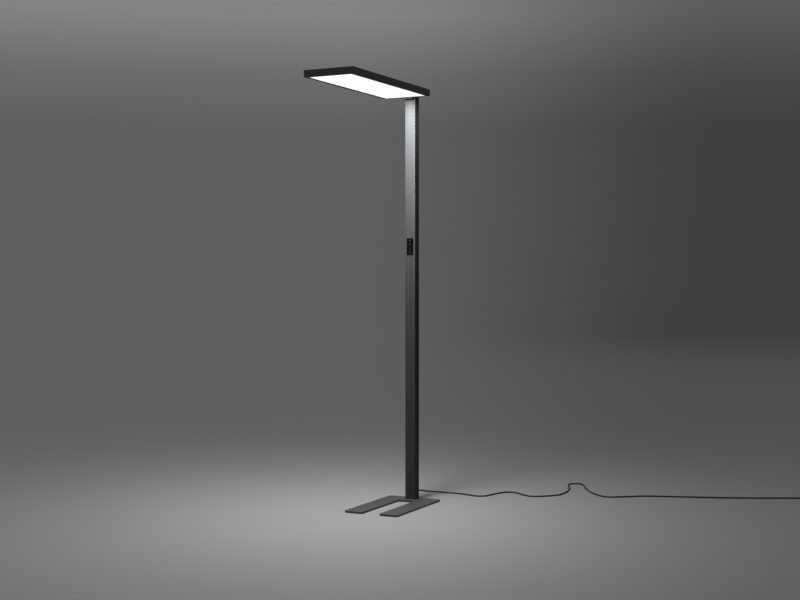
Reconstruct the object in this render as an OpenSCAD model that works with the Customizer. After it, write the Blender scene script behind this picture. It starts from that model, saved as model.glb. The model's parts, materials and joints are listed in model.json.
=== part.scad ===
// Office floor lamp: a flat rectangular light head, carried by its rear end on a slim
// aluminium post, over a fork-shaped steel foot whose prongs slide under a desk.
//
// Millimetres. The origin is on the floor, on the axis of the post. +Z is up and -Y is the
// front, where the head and the prongs point. The mains cord leaves at the rear, towards +Y.

/* [Lamp] */
// Overall height, from the floor to the top of the head
lamp_h = 1950; // [1800:5:2100]

/* [Foot] */
// Width of the foot plate
foot_w = 270; // [250:1:320]
// Length of the foot plate, front to rear
foot_l = 463; // [410:1:530]
// Thickness of the foot plate
foot_t = 8; // [7:0.5:12]
// From the axis of the post to the rear edge of the foot plate
foot_rear = 34; // [29:1:50]
// Length of the solid part of the plate behind the slot
bridge_l = 95; // [90:1:146]
// Width of the slot between the prongs
slot_w = 84; // [60:1:110]
// Radius of the outer corners of the plate
foot_r = 12; // [4:0.5:18]
// Radius in the inner corners of the slot
slot_r = 3; // [1:0.5:8]
// Diameter of a floor pad
pad_d = 20; // [14:1:22]
// Depth of the pocket that holds a pad
pad_sink = 1; // [0.5:0.1:2]
// How far a pad stands out under the plate
pad_proud = 1; // [0.5:0.1:2]
// From the edges of the plate to the middle of a pad
pad_inset = 24; // [18:1:34]

/* [Post] */
// Width of the post's section
post_w = 52; // [50:1:64]
// Depth of the post's section
post_d = 44; // [42:1:56]
// Wall of the post
post_wall = 2; // [1.6:0.1:2.6]
// Radius of the post's long edges
post_r = 1.2; // [0.8:0.1:1.8]
// Bore of a screw channel, for self-cutting screws
channel_bore = 4.2; // [3.8:0.1:4.6]
// Wall round a screw channel
channel_wall = 1.6; // [1.2:0.1:1.8]
// From the inner faces of the walls to the middle of a channel
channel_in = 5; // [4.8:0.1:6]
// Thickness of the webs that carry the channels
web_t = 1.8; // [1.4:0.1:2.4]
// Height of the foot block inside the post
block_h = 60; // [54:1:90]
// Height of the two side screws over the floor
side_screw_z = 33; // [31:1:36]

/* [Neck] */
// Clear distance from the front of the post to the head
neck_reach = 33; // [24:1:60]
// How far the neck starts below the underside of the head
neck_drop = 4; // [2:0.5:8]
// How far the top of the neck stays below the top of the head
neck_low = 2; // [1:0.5:3]
// Side walls of the neck casting
neck_wall = 2; // [1.6:0.1:2.6]
// Floor of the neck casting
neck_floor = 5; // [4:0.5:7]
// Front wall of the neck casting, which the head is bolted to
neck_front = 7; // [5:0.5:10]
// Lid on the neck casting
lid_t = 1.6; // [1.2:0.1:2.4]

/* [Head] */
// Length of the head, front to rear
head_l = 755; // [655:5:900]
// Width of the head
head_w = 240; // [220:1:300]
// Thickness of the head
head_t = 30; // [29:0.5:38]
// Wall of the head's frame rails
rail_wall = 2; // [1.6:0.1:2.6]
// Width of the rim round the light panel, seen from below
rim_w = 17.5; // [14:0.5:22]
// Thickness of that rim
rim_t = 1.8; // [1.4:0.1:2.4]
// Width of the ledge that carries the component plate
ledge_w = 14; // [12:0.5:18]
// Thickness of the ledges inside the rails
ledge_t = 1.5; // [1.2:0.1:2]
// Width of the seat for the top cover
seat_w = 12; // [10:0.5:14]
// Thickness of the top cover
cover_t = 1.5; // [1.2:0.1:2]
// Opal diffuser under the light
diffuser_t = 2.5; // [2:0.1:3]
// Edge-lit light guide
guide_t = 4; // [3:0.1:5]
// White reflector over the light guide
reflector_t = 0.8; // [0.5:0.1:1]
// Component plate
plate_t = 1.5; // [1:0.1:2]
// From the ends of the head to the upward light window
window_end = 75; // [70:1:120]
// From the long sides of the head to that window
window_side = 45; // [30:1:60]
// Pitch of the light-emitting diodes
led_pitch = 20; // [15:1:30]

/* [Control unit] */
// Height of the middle of the control unit over the floor
unit_z = 1214; // [900:1:1400]
// Width of its front plate
unit_w = 34; // [32:0.5:38]
// Height of its front plate
unit_h = 79; // [78:0.5:90]
// Radius of the corners of its front plate
unit_r = 2.5; // [1.5:0.1:4]
// How far its front plate stands out of the post
unit_proud = 1.2; // [0.8:0.1:2]
// Width of the body behind the front plate
body_w = 28; // [27:0.2:28.6]
// Height of the body behind the front plate
body_h = 75; // [74.6:0.2:76]
// Depth of the body behind the face of the post
body_d = 12; // [12:0.2:16]
// Wall of the body
body_wall = 1.5; // [1.2:0.1:1.6]
// Width of a key
key_w = 20; // [17:0.2:20.4]
// Height of a key
key_h = 14; // [11:0.2:14.2]
// Radius of the corners of a key
key_r = 2; // [1:0.1:3]
// Pitch of the four keys
key_pitch = 18.6; // [17.2:0.1:18.7]
// Travel of a key
key_travel = 0.8; // [0.5:0.1:1]
// How far a key stands out of the front plate
key_proud = 0.4; // [0.3:0.1:1]
// Gap round a key in its opening
key_gap = 0.25; // [0.15:0.05:0.35]

/* [Mains cord] */
// Diameter of the mains cord
cord_d = 7; // [6:0.2:8]
// Height of the cord's exit over the floor
cord_exit_z = 38; // [36:1:42]
// Length of the tapered strain relief behind the post
relief_l = 35; // [24:1:50]
// Turns of the cord that is wound up
coil_turns = 3.25; // [2.25:1:5.25]
// Radius of the coil at the middle of its turns
coil_mid_r = 39; // [36:1:42]
// Diameter of the plug's front
plug_d = 37; // [35:0.5:40]
// Length of the plug's body
plug_l = 36; // [30:1:44]
// Diameter of a contact pin
pin_d = 4.8; // [4:0.1:5]
// Length of a contact pin
pin_l = 19; // [17:0.5:20]
// Distance between the two contact pins
pin_pitch = 19; // [17:0.5:20]

/* [Hidden] */
$fn = 48;

// Play of a piece that is pushed into another, and of a screw in its thread
fit_gap = 0.2;
thread_gap = 0.05;
// A cut runs this far past the face that it opens
past = 1;

// Heights of the lamp's main levels
foot_top = pad_proud + foot_t;
head_z = lamp_h - head_t;
neck_z = head_z - neck_drop;
neck_top = lamp_h - neck_low;

// Faces of the post, and of the head in front of it
post_front = -post_d / 2;
post_rear = post_d / 2;
inner_front = post_front + post_wall;
inner_rear = post_rear - post_wall;
head_rear = post_front - neck_reach;
head_mid = head_rear - head_l / 2;
foot_front = foot_rear - foot_l;
slot_end = foot_rear - bridge_l;

// The four screw channels of the post
channel_r = channel_bore / 2 + channel_wall;
channel_x = post_w / 2 - post_wall - channel_in;
channel_y = post_d / 2 - post_wall - channel_in;

// Screws: shank and head diameters
foot_screw_d = 6;
foot_screw_head = 12;
foot_screw_x = (pad_d + foot_screw_head) / 2 + 1;
foot_screw_y = 6.5;
small_screw_d = 3;
small_screw_head = 5.6;
channel_screw_head = 8.6;
head_bolt_d = 6;
head_bolt_x = 16;

// Room for the cord behind the foot block
chamber_w = 20;
relief_bore = cord_d + 2 * thread_gap;
relief_thread_d = 12;
relief_flange_d = 17;
relief_flange_t = 3;
relief_nut_t = 4;
relief_past_nut = 2;
relief_start = inner_rear - relief_nut_t - relief_past_nut;
lead_bend_r = 14;
lead_y = relief_start - lead_bend_r;
chamber_front = lead_y - cord_d / 2 - 1.5;

// Electrical pieces inside the post, from the foot block up
tray_t = 1.2;
tray_w = 2 * (channel_x - channel_r) - 1;
tray_z = foot_top + block_h;
tray_face = inner_rear - fit_gap - tray_t;
terminal_z = tray_z + 12;
terminal_h = 30;
terminal_w = 24;
terminal_d = 18;
driver_z = terminal_z + terminal_h + 15;
driver_h = 280;
driver_w = 28;
driver_d = 27;
driver_end = driver_z + driver_h;
tray_over = 13;
tray_h = driver_end + tray_over - tray_z;
wire_d = 2.2;
wire_y = tray_face - terminal_d / 2;

// Levels inside the head, from its underside
window_l = head_l - 2 * window_end;
window_w = head_w - 2 * window_side;
diffuser_z = rim_t;
guide_z = diffuser_z + diffuser_t;
reflector_z = guide_z + guide_t;
ledge_z = reflector_z + reflector_t + fit_gap;
plate_z = ledge_z + ledge_t;
parts_z = plate_z + plate_t;
cover_z = head_t - cover_t;
seat_z = cover_z - ledge_t;
guide_inset = rail_wall + 3;
plate_inset = rail_wall + 0.5;

// Bracket that carries the head on the neck
bracket_w = 100;
bracket_l = 65;
bracket_t = 3;
bracket_h = seat_z - parts_z - 0.5;

// The cable from the driver to the head
cable_d = 5.5;
cable_y = 8;
tray_lip_y = cable_y + cable_d / 2 + 1;
cable_bend_r = 14;
cable_level = head_z + (parts_z + bracket_t + seat_z) / 2;
cable_hole = cable_d + 2.5;
cable_in_head = 60;
cable_end = head_rear - cable_in_head;

// Corner keys that pin the mitred rails together
corner_leg = 30;
corner_t = 3;
corner_h = 12;
corner_z = parts_z + 1;

// The control unit, from the front of its plate to the rear of its body
unit_face = post_front - unit_proud;
front_plate_t = 3;
cavity_w = body_w - 2 * body_wall;
cavity_h = body_h - 2 * body_wall;
cavity_y = unit_face + front_plate_t;
body_end = post_front + body_d;
key_rim = 0.9;
key_rim_t = 1;
rim_gap = 0.1;
stem_d = 3.5;
board_t = 1.6;
unit_back_t = 1.5;
board_y = body_end - fit_gap - unit_back_t - board_t;
switch_w = 6;
switch_t = board_y - cavity_y - key_rim_t - key_travel - 1.2;
switch_bore = 4;
stem_in = 0.5;
catch_out = 1;
catch_l = 2.2;
connector_w = 10;
connector_h = 6;
connector_z = unit_z - 30;
unit_wire_d = 3;

// Centre line of the mains cord where it lies on the floor
cord_level = cord_d / 2 + 0.1;
relief_end = post_rear + relief_l;

// The route of the cord, chosen by hand: X, Y and how far it is above its place on the floor.
// It leaves the strain relief, sinks to the floor, swings once forward and once round a long
// narrow bend at the rear, and runs off to the right into the coil.
cord_route = [
    [0, 57, 34.4], [0, 66, 34.3], [0, 100, 29.4], [3, 145, 20], [17, 203, 9.5], [45, 243, 2.4],
    [85, 259, 0], [140, 257, 0], [205, 240, 0], [248, 232, 0], [270, 246, 0], [285, 290, 0],
    [306, 366, 0], [324, 399, 0], [350, 411, 0], [380, 401, 0], [445, 351, 0], [474, 341, 0],
    [502, 352, 0], [558, 398, 0], [583, 440, 0], [590, 510, 0], [566, 650, 0], [530, 742, 0],
    [524, 772, 0], [532, 797, 0], [556, 809, 0], [581, 800, 0], [597, 774, 0], [654, 660, 0],
    [735, 540, 0], [788, 498, 0], [828, 490, 0], [866, 516, 0], [950, 580, 0], [1100, 640, 0],
    [1300, 708, 0], [1480, 784, 0], [1640, 862, 0], [1730, 905, 0],
];
coil_way = 26;
cord_start_way = [0, 1, 0];
cord_end_way = [cos(coil_way), sin(coil_way), 0];
cord_steps = 2;
cord_sides = 8;

// The coil: two layers, wound inwards and out again, with its ends along the cord's last run
coil_sides = 6;
coil_rings = 24;
coil_pitch = cord_d + 0.8;
coil_rise = cord_d + 0.7;
coil_out_r = coil_mid_r + coil_pitch * coil_turns / 4;
coil_start = [cord_route[len(cord_route) - 1][0], cord_route[len(cord_route) - 1][1]];
coil_centre = coil_start + coil_out_r * [sin(coil_way), -cos(coil_way)]
    + cord_d * [cos(coil_way), sin(coil_way)];
tail_l = 45;

// The plug lies on the floor beside the coil
plug_sleeve_l = 28;
pin_root_l = 8;
plug_z = plug_d / 2 + 0.1;
plug_way = coil_way - 360 * coil_turns;
tail_start = coil_centre + coil_out_r * [-sin(plug_way), cos(plug_way)];
plug_start = tail_start + (tail_l + cord_d) * [cos(plug_way), sin(plug_way)];

// ---------------------------------------------------------------- shapes used more than once

// A rectangle with round corners, centred
module round_rect(w, h, r) {
    square([w - 2 * r, h], center = true);
    square([w, h - 2 * r], center = true);
    for (x = [-1, 1], y = [-1, 1])
        translate([x * (w / 2 - r), y * (h / 2 - r)]) circle(r = r);
}

// A box given by its lowest corner and its size
module block(corner, size) {
    translate(corner) cube(size);
}

// A screw with its head down to z = 0 and its shank up; the head is a cone and has a socket
module countersunk_screw(d, head_d, l) {
    head_h = (head_d - d) / 2;
    difference() {
        union() {
            cylinder(d1 = head_d, d2 = d, h = head_h);
            cylinder(d = d, h = l);
        }
        translate([0, 0, -past]) cylinder(d = 0.55 * d, h = past + 0.45 * head_h + 0.6, $fn = 6);
    }
}

// The hole for such a screw, open at z = 0, through a sheet of thickness t
module countersunk_hole(d, head_d, t) {
    head_h = (head_d - d) / 2;
    translate([0, 0, -past]) cylinder(d = d, h = t + 2 * past);
    translate([0, 0, -past]) cylinder(d = head_d, h = past);
    cylinder(d1 = head_d, d2 = d, h = head_h);
}

// Places its child at the four corners of a rectangle with half sides x and y
module at_corners(x, y) {
    for (i = [-1, 1], j = [-1, 1]) translate([i * x, j * y, 0]) children();
}

// A bar along Y at the given X and Z, from y0 to y1
module bar_y(x, z, y0, y1, d) {
    translate([x, y1, z]) rotate([90, 0, 0]) cylinder(d = d, h = y1 - y0);
}

// ---------------------------------------------------------------- foot

// Steel plate cut to a fork, with a pocket for each pad and four countersunk holes from below
module foot_outline() {
    difference() {
        translate([0, (foot_front + foot_rear) / 2]) round_rect(foot_w, foot_l, foot_r);
        translate([-slot_w / 2, foot_front - past]) square([slot_w, foot_l - bridge_l + past - slot_r]);
        translate([-slot_w / 2 + slot_r, foot_front])
            square([slot_w - 2 * slot_r, foot_l - bridge_l]);
        for (x = [-1, 1])
            translate([x * (slot_w / 2 - slot_r), slot_end - slot_r]) circle(r = slot_r);
        for (x = [-1, 1]) translate([x * slot_w / 2, foot_front]) prong_corner(x);
    }
}

// What the inner corner at the tip of a prong loses to its rounding
module prong_corner(side) {
    difference() {
        translate([side > 0 ? -past : -foot_r, -past]) square(foot_r + past);
        translate([side * foot_r, foot_r]) circle(r = foot_r);
    }
}

// One pad right under the post, and three on each side
prong_x = (foot_w + slot_w) / 4;
pad_places = [
    [0, 0],
    for (x = [-1, 1])
        for (p = [
            [prong_x, foot_front + pad_inset],
            [prong_x, (foot_front + slot_end) / 2],
            [foot_w / 2 - pad_inset, foot_rear - pad_inset],
        ]) [x * p[0], p[1]]
];

module foot_plate() {
    color("dimgray") difference() {
        translate([0, 0, pad_proud]) linear_extrude(foot_t) foot_outline();
        for (p = pad_places)
            translate([p[0], p[1], pad_proud - past])
                cylinder(d = pad_d + 2 * fit_gap, h = past + pad_sink);
        translate([0, 0, pad_proud]) at_corners(foot_screw_x, foot_screw_y)
            countersunk_hole(foot_screw_d + 0.6, foot_screw_head + 0.6, foot_t);
    }
}

module floor_pads() {
    color("black") for (p = pad_places)
        translate([p[0], p[1], 0]) cylinder(d = pad_d, h = pad_proud + pad_sink);
}

// ---------------------------------------------------------------- post

// Section of the extruded post: outer wall, and a screw channel on two webs in each corner
module post_section() {
    difference() {
        union() {
            difference() {
                round_rect(post_w, post_d, post_r);
                square([post_w - 2 * post_wall, post_d - 2 * post_wall], center = true);
            }
            for (x = [-1, 1], y = [-1, 1]) scale_corner(x, y) {
                translate([channel_x, channel_y]) circle(r = channel_r);
                translate([channel_x, channel_y - web_t / 2])
                    square([channel_in + post_wall / 2, web_t]);
                translate([channel_x - web_t / 2, channel_y])
                    square([web_t, channel_in + post_wall / 2]);
            }
        }
        for (x = [-1, 1], y = [-1, 1])
            translate([x * channel_x, y * channel_y]) circle(d = channel_bore);
    }
}

// Mirrors the corner drawn at +X +Y into one of the four corners
module scale_corner(x, y) {
    mirror([x < 0 ? 1 : 0, 0]) mirror([0, y < 0 ? 1 : 0]) children();
}

module post_profile() {
    color("slategray") difference() {
        translate([0, 0, foot_top]) linear_extrude(neck_z - foot_top) post_section();
        // opening for the control unit, in the front wall only
        block(
            [-body_w / 2 - fit_gap, post_front - past, unit_z - body_h / 2 - fit_gap],
            [body_w + 2 * fit_gap, past + post_wall + 0.5, body_h + 2 * fit_gap]
        );
        // hole for the strain relief, and for the two side screws
        bar_y(0, cord_exit_z, inner_rear - past, post_rear + past, relief_thread_d + 2 * fit_gap);
        translate([-post_w / 2 - past, 0, side_screw_z]) rotate([0, 90, 0])
            cylinder(d = foot_screw_d + 2 * fit_gap, h = post_w + 2 * past);
    }
}

// Aluminium block in the foot of the post: the foot plate is screwed up into it
block_w = post_w - 2 * post_wall - 2 * fit_gap;
block_d = post_d - 2 * post_wall - 2 * fit_gap;
notch_x = channel_x - channel_r - fit_gap;
notch_y = channel_y - channel_r - fit_gap;
block_thread = 18;
module foot_block() {
    color("silver") difference() {
        translate([0, 0, foot_top]) linear_extrude(block_h) difference() {
            union() {
                square([2 * notch_x, block_d], center = true);
                square([block_w, 2 * notch_y], center = true);
            }
            translate([-chamber_w / 2, chamber_front]) square([chamber_w, post_d]);
        }
        translate([0, 0, foot_top - past]) at_corners(foot_screw_x, foot_screw_y)
            cylinder(d = foot_screw_d + 2 * thread_gap, h = past + block_thread);
        translate([-post_w / 2, 0, side_screw_z]) rotate([0, 90, 0])
            cylinder(d = foot_screw_d + 2 * thread_gap, h = post_w);
    }
}

module foot_screws() {
    color("silver") translate([0, 0, pad_proud]) at_corners(foot_screw_x, foot_screw_y)
        countersunk_screw(foot_screw_d, foot_screw_head, foot_t + block_thread - 2);
}

// Two socket set screws through the sides of the post into the foot block
side_screw_l = 12;
module side_screws() {
    color("black") for (x = [-1, 1])
        translate([x * (post_w / 2 - 0.3), 0, side_screw_z]) rotate([0, -x * 90, 0]) difference() {
            cylinder(d = foot_screw_d, h = side_screw_l);
            translate([0, 0, -past]) cylinder(d = 3, h = past + 3, $fn = 6);
        }
}

// ---------------------------------------------------------------- mains entry and driver

// Tapered sleeve on the cord with a flange against the post and a threaded neck through it
module strain_relief() {
    color("black") translate([0, post_rear, cord_exit_z]) rotate([-90, 0, 0])
        rotate_extrude() polygon([
            [relief_bore / 2, relief_start - post_rear],
            [relief_thread_d / 2, relief_start - post_rear],
            [relief_thread_d / 2, 0],
            [relief_flange_d / 2, 0],
            [relief_flange_d / 2, relief_flange_t - 1],
            [relief_flange_d / 2 - 1, relief_flange_t],
            [cord_d / 2 + 2.8, relief_flange_t],
            [cord_d / 2 + 1, relief_l],
            [relief_bore / 2, relief_l],
        ]);
}

module relief_nut() {
    color("silver") translate([0, inner_rear, cord_exit_z]) rotate([90, 0, 0]) difference() {
        rotate([0, 0, 30]) cylinder(d = 16 / cos(30), h = relief_nut_t, $fn = 6);
        translate([0, 0, -past])
            cylinder(d = relief_thread_d + 2 * thread_gap, h = relief_nut_t + 2 * past);
    }
}

// The cord's last stretch, inside the lamp: in through the sleeve, then up to the terminals
module inner_lead() {
    color("black") {
        bar_y(0, cord_exit_z, relief_start, relief_end, cord_d);
        translate([0, relief_start, cord_exit_z + lead_bend_r]) mirror([0, 1, 0]) rotate([0, 90, 0])
            rotate_extrude(angle = 90) translate([lead_bend_r, 0]) circle(d = cord_d);
        translate([0, lead_y, cord_exit_z + lead_bend_r])
            cylinder(d = cord_d, h = terminal_z - cord_exit_z - lead_bend_r);
    }
}

// Three-pole terminal block on the driver's tray, one screw a pole
module terminal_block() {
    color("whitesmoke") difference() {
        block([-terminal_w / 2, tray_face - terminal_d, terminal_z], [terminal_w, terminal_d, terminal_h]);
        for (i = [-1:1], z = [6, terminal_h - 6])
            bar_y(i * terminal_w / 3, terminal_z + z, tray_face - terminal_d - past,
                tray_face - terminal_d + 3, 3.6);
    }
}

// Sheet-steel tray that stands on the foot block and carries the terminals and the driver
module driver_tray() {
    color("silver") {
        block([-tray_w / 2, tray_face, tray_z], [tray_w, tray_t, tray_h]);
        block([-tray_w / 2, tray_lip_y, tray_z + tray_h], [tray_w, tray_face + tray_t - tray_lip_y, tray_t]);
    }
}

module led_driver() {
    color("white") difference() {
        block([-driver_w / 2, tray_face - driver_d, driver_z], [driver_w, driver_d, driver_h]);
        for (z = [0, driver_h - 14])
            block([-driver_w / 2 - past, tray_face - driver_d - past, driver_z + z],
                [driver_w + 2 * past, past + 3, 14]);
    }
}

module driver_wires() {
    color("saddlebrown") for (i = [-1:1])
        translate([i * terminal_w / 3, wire_y, terminal_z + terminal_h])
            cylinder(d = wire_d, h = driver_z - terminal_z - terminal_h);
}

// Cable from the driver up the post, forward through the neck and into the head
module head_cable() {
    color("black") {
        translate([0, cable_y, driver_end])
            cylinder(d = cable_d, h = cable_level - cable_bend_r - driver_end);
        translate([0, cable_y - cable_bend_r, cable_level - cable_bend_r]) rotate([90, 0, 90])
            rotate_extrude(angle = 90) translate([cable_bend_r, 0]) circle(d = cable_d);
        bar_y(0, cable_level, cable_end, cable_y - cable_bend_r, cable_d);
    }
}

module unit_cable() {
    color("black") translate([0, unit_wire_y, driver_end])
        cylinder(d = unit_wire_d, h = connector_z - connector_h / 2 - driver_end);
}

// ---------------------------------------------------------------- control unit

// Heights of the four keys, from the top one down
key_heights = [for (i = [0:3]) unit_z + (1.5 - i) * key_pitch];

// Draws a flat shape of X and Z as a slab from y0 to y1
module slab_y(y0, y1) {
    translate([0, y1, 0]) rotate([90, 0, 0]) linear_extrude(y1 - y0) children();
}

// Moulded housing: front plate, body, key openings, ledges for the board and two side catches
module unit_housing() {
    ledge_in = 1.1;
    color("black") difference() {
        union() {
            translate([0, 0, unit_z]) slab_y(unit_face, post_front) round_rect(unit_w, unit_h, unit_r);
            translate([0, 0, unit_z]) slab_y(post_front, body_end) square([body_w, body_h], center = true);
            for (x = [-1, 1]) side_catch(x);
        }
        translate([0, 0, unit_z]) slab_y(cavity_y, board_y - 3)
            square([cavity_w, cavity_h], center = true);
        translate([0, 0, unit_z]) slab_y(cavity_y, body_end + past)
            square([cavity_w - 2 * ledge_in, cavity_h], center = true);
        translate([0, 0, unit_z]) slab_y(board_y, body_end + past)
            square([cavity_w, cavity_h], center = true);
        for (z = key_heights) translate([0, 0, z]) slab_y(unit_face - past, cavity_y + past)
            round_rect(key_w + 2 * key_gap, key_h + 2 * key_gap, key_r + key_gap);
    }
}

// Wedge that snaps behind the wall of the post
module side_catch(x) {
    catch_y = inner_front + fit_gap;
    catch_h = 12;
    mirror([x < 0 ? 1 : 0, 0, 0]) translate([0, 0, unit_z - catch_h / 2]) linear_extrude(catch_h)
        polygon([
            [body_w / 2 - 0.5, catch_y],
            [body_w / 2 + catch_out, catch_y],
            [body_w / 2, catch_y + catch_l],
            [body_w / 2 - 0.5, catch_y + catch_l],
        ]);
}

// One key: cap through the front plate, retaining rim behind it, and a stem into its switch
module key(z) {
    rim_y = cavity_y + rim_gap;
    stem_end = board_y - switch_t + stem_in;
    color("dimgray") translate([0, 0, z]) {
        slab_y(unit_face - key_proud, rim_y) round_rect(key_w, key_h, key_r);
        slab_y(rim_y, rim_y + key_rim_t)
            round_rect(key_w + 2 * key_rim, key_h + 2 * key_rim, key_r + key_rim);
        bar_y(0, 0, rim_y + key_rim_t, stem_end, stem_d);
    }
}

module power_key() { key(key_heights[0]); }

module brighter_key() { key(key_heights[1]); }

module dimmer_key() { key(key_heights[2]); }

module uplight_key() { key(key_heights[3]); }

module unit_board() {
    color("darkgreen") translate([0, 0, unit_z]) slab_y(board_y, board_y + board_t)
        square([cavity_w - 2 * fit_gap, cavity_h - 2 * fit_gap], center = true);
}

// Four push switches on the board; the key's stem slides in the bore of its switch
module key_switches() {
    color("gray") for (z = key_heights) translate([0, 0, z]) difference() {
        slab_y(board_y - switch_t, board_y) square(switch_w, center = true);
        bar_y(0, 0, board_y - switch_t - past, board_y - switch_t + stem_in + key_travel + 0.2,
            switch_bore);
    }
}

unit_wire_y = board_y + board_t + 4;
module unit_connector() {
    color("whitesmoke") translate([0, 0, connector_z]) slab_y(board_y + board_t, board_y + board_t + 7)
        square([connector_w, connector_h], center = true);
}

module unit_back() {
    color("black") difference() {
        translate([0, 0, unit_z]) slab_y(board_y + board_t, board_y + board_t + unit_back_t)
            square([cavity_w - 2 * fit_gap, cavity_h - 2 * fit_gap], center = true);
        translate([0, 0, connector_z]) slab_y(board_y, body_end + past)
            square([connector_w + 2 * fit_gap, connector_h + 2 * fit_gap], center = true);
    }
}

// ---------------------------------------------------------------- neck

neck_end = head_rear;
neck_rear_wall = 4;
boss_d = 7;
boss_x = post_w / 2 - neck_wall - boss_d / 2 + 0.5;
boss_places = [[-boss_x, (neck_end + post_front) / 2], [boss_x, (neck_end + post_front) / 2]];
lid_z = neck_top - lid_t;

// Hollow casting on the post: four wells over the screw channels, a cable way, two lid bosses
module neck_casting() {
    inner_w = 2 * channel_x;
    color("black") difference() {
        translate([0, (neck_end + post_rear) / 2, neck_z]) linear_extrude(lid_z - neck_z)
            round_rect(post_w, post_rear - neck_end, post_r);
        // the hollow: one wide room over the arm, and a narrower one between the wells
        block([-post_w / 2 + neck_wall, neck_end + neck_front, neck_z + neck_floor],
            [post_w - 2 * neck_wall, neck_reach - neck_front, lid_z - neck_z]);
        block([-inner_w / 2, post_front - past, neck_z + neck_floor],
            [inner_w, post_d - neck_rear_wall + past, lid_z - neck_z]);
        for (x = [-1, 1], y = [-1, 1]) translate([x * channel_x, y * channel_y, neck_z]) {
            translate([0, 0, neck_floor]) cylinder(d = channel_screw_head + 2 * fit_gap, h = lid_z);
            translate([0, 0, neck_floor]) mirror([0, 0, 1])
                countersunk_hole(channel_bore + 0.6, channel_screw_head, neck_floor);
        }
        translate([0, cable_y, neck_z - past]) cylinder(d = cable_hole, h = neck_floor + 2 * past);
        bar_y(0, cable_level, neck_end - past, neck_end + neck_front + past, cable_hole);
        for (x = [-1, 1]) bar_y(x * head_bolt_x, cable_level, neck_end - past,
            neck_end + neck_front + past, head_bolt_d + 2 * thread_gap);
    }
    color("black") for (p = boss_places) translate([p[0], p[1], neck_z + neck_floor]) difference() {
        cylinder(d = boss_d, h = lid_z - neck_z - neck_floor);
        translate([0, 0, 4])
            cylinder(d = small_screw_d + 2 * thread_gap, h = lid_z - neck_z - neck_floor);
    }
}

module neck_lid() {
    color("black") difference() {
        translate([0, (neck_end + post_rear) / 2, lid_z]) linear_extrude(lid_t)
            round_rect(post_w, post_rear - neck_end, post_r);
        for (p = boss_places) translate([p[0], p[1], neck_top]) mirror([0, 0, 1])
            countersunk_hole(small_screw_d + 0.4, small_screw_head + 0.2, lid_t);
    }
}

module neck_lid_screws() {
    color("silver") for (p = boss_places) translate([p[0], p[1], neck_top]) mirror([0, 0, 1])
        countersunk_screw(small_screw_d, small_screw_head, 9);
}

// Self-cutting screws: the shank is as wide as the channel's bore, less its play
module neck_post_screws() {
    color("silver") translate([0, 0, neck_z + neck_floor]) at_corners(channel_x, channel_y)
        mirror([0, 0, 1])
            countersunk_screw(channel_bore - 2 * thread_gap, channel_screw_head - 0.4, neck_floor + 18);
}

// Two bolts from inside the head, through the bracket and the rear rail into the neck
module head_bolts() {
    head_h = 4;
    bolt_face = head_rear - rail_wall - bracket_t;
    color("silver") for (x = [-1, 1]) {
        bar_y(x * head_bolt_x, cable_level, bolt_face, neck_end + neck_front - 1, head_bolt_d);
        difference() {
            bar_y(x * head_bolt_x, cable_level, bolt_face - head_h, bolt_face, 1.6 * head_bolt_d);
            translate([x * head_bolt_x, bolt_face - head_h + 2.5, cable_level])
                rotate([90, 0, 0]) cylinder(d = 5, h = 2.5 + past, $fn = 6);
        }
    }
}

// ---------------------------------------------------------------- head frame

// Section of a frame rail: X inwards from its outer face, Y up from the head's underside
module rail_section() {
    polygon([
        [0, 0], [rim_w, 0], [rim_w, rim_t], [rail_wall, rim_t],
        [rail_wall, ledge_z], [ledge_w, ledge_z], [ledge_w, plate_z], [rail_wall, plate_z],
        [rail_wall, seat_z], [seat_w, seat_z], [seat_w, cover_z], [rail_wall, cover_z],
        [rail_wall, head_t], [0, head_t],
    ]);
}

// A rail of length l along X, its outer face at Y = 0 and the inside towards +Y, mitred
module rail(l) {
    deep = max(rim_w, ledge_w, seat_w) + past;
    play = 0.05;
    intersection() {
        rotate([90, 0, 90]) linear_extrude(l) rail_section();
        translate([0, 0, -past]) linear_extrude(head_t + 2 * past)
            polygon([[play, 0], [l - play, 0], [l - play - deep, deep], [play + deep, deep]]);
    }
}

// Takes its child from rail coordinates to the head: the front, right, rear or left side
module on_side(side) {
    if (side == "rear")
        translate([head_w / 2, head_rear, head_z]) rotate([0, 0, 180]) children();
    if (side == "front")
        translate([-head_w / 2, head_rear - head_l, head_z]) children();
    if (side == "right")
        translate([head_w / 2, head_rear - head_l, head_z]) rotate([0, 0, 90]) children();
    if (side == "left")
        translate([-head_w / 2, head_rear, head_z]) rotate([0, 0, -90]) children();
}

seat_screw_in = 8;
cover_screw_end = 60;
cover_screw_xs = [cover_screw_end, head_l / 2, head_l - cover_screw_end];

module seat_holes(places) {
    for (x = places) translate([x, seat_screw_in, seat_z - past])
        cylinder(d = small_screw_d + 2 * thread_gap, h = ledge_t + 2 * past);
}

module head_side_rails() {
    color("dimgray") for (side = ["right", "left"]) on_side(side) difference() {
        rail(head_l);
        seat_holes(cover_screw_xs);
    }
}

module head_front_rail() {
    color("dimgray") on_side("front") difference() {
        rail(head_w);
        seat_holes([head_w / 2]);
    }
}

module head_rear_rail() {
    color("dimgray") difference() {
        on_side("rear") difference() {
            rail(head_w);
            seat_holes([head_w / 2]);
        }
        for (x = [-1, 1]) bar_y(x * head_bolt_x, cable_level, head_rear - rail_wall - past,
            head_rear + past, head_bolt_d + 0.6);
        bar_y(0, cable_level, head_rear - rail_wall - past, head_rear + past, cable_hole);
    }
}

// An angle in each corner of the frame, on the inside of both rails
module corner_key_shape() {
    start = rail_wall + 0.1;
    block([start, start, corner_z], [corner_leg, corner_t, corner_h]);
    block([start, start, corner_z], [corner_t, corner_leg, corner_h]);
}

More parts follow.
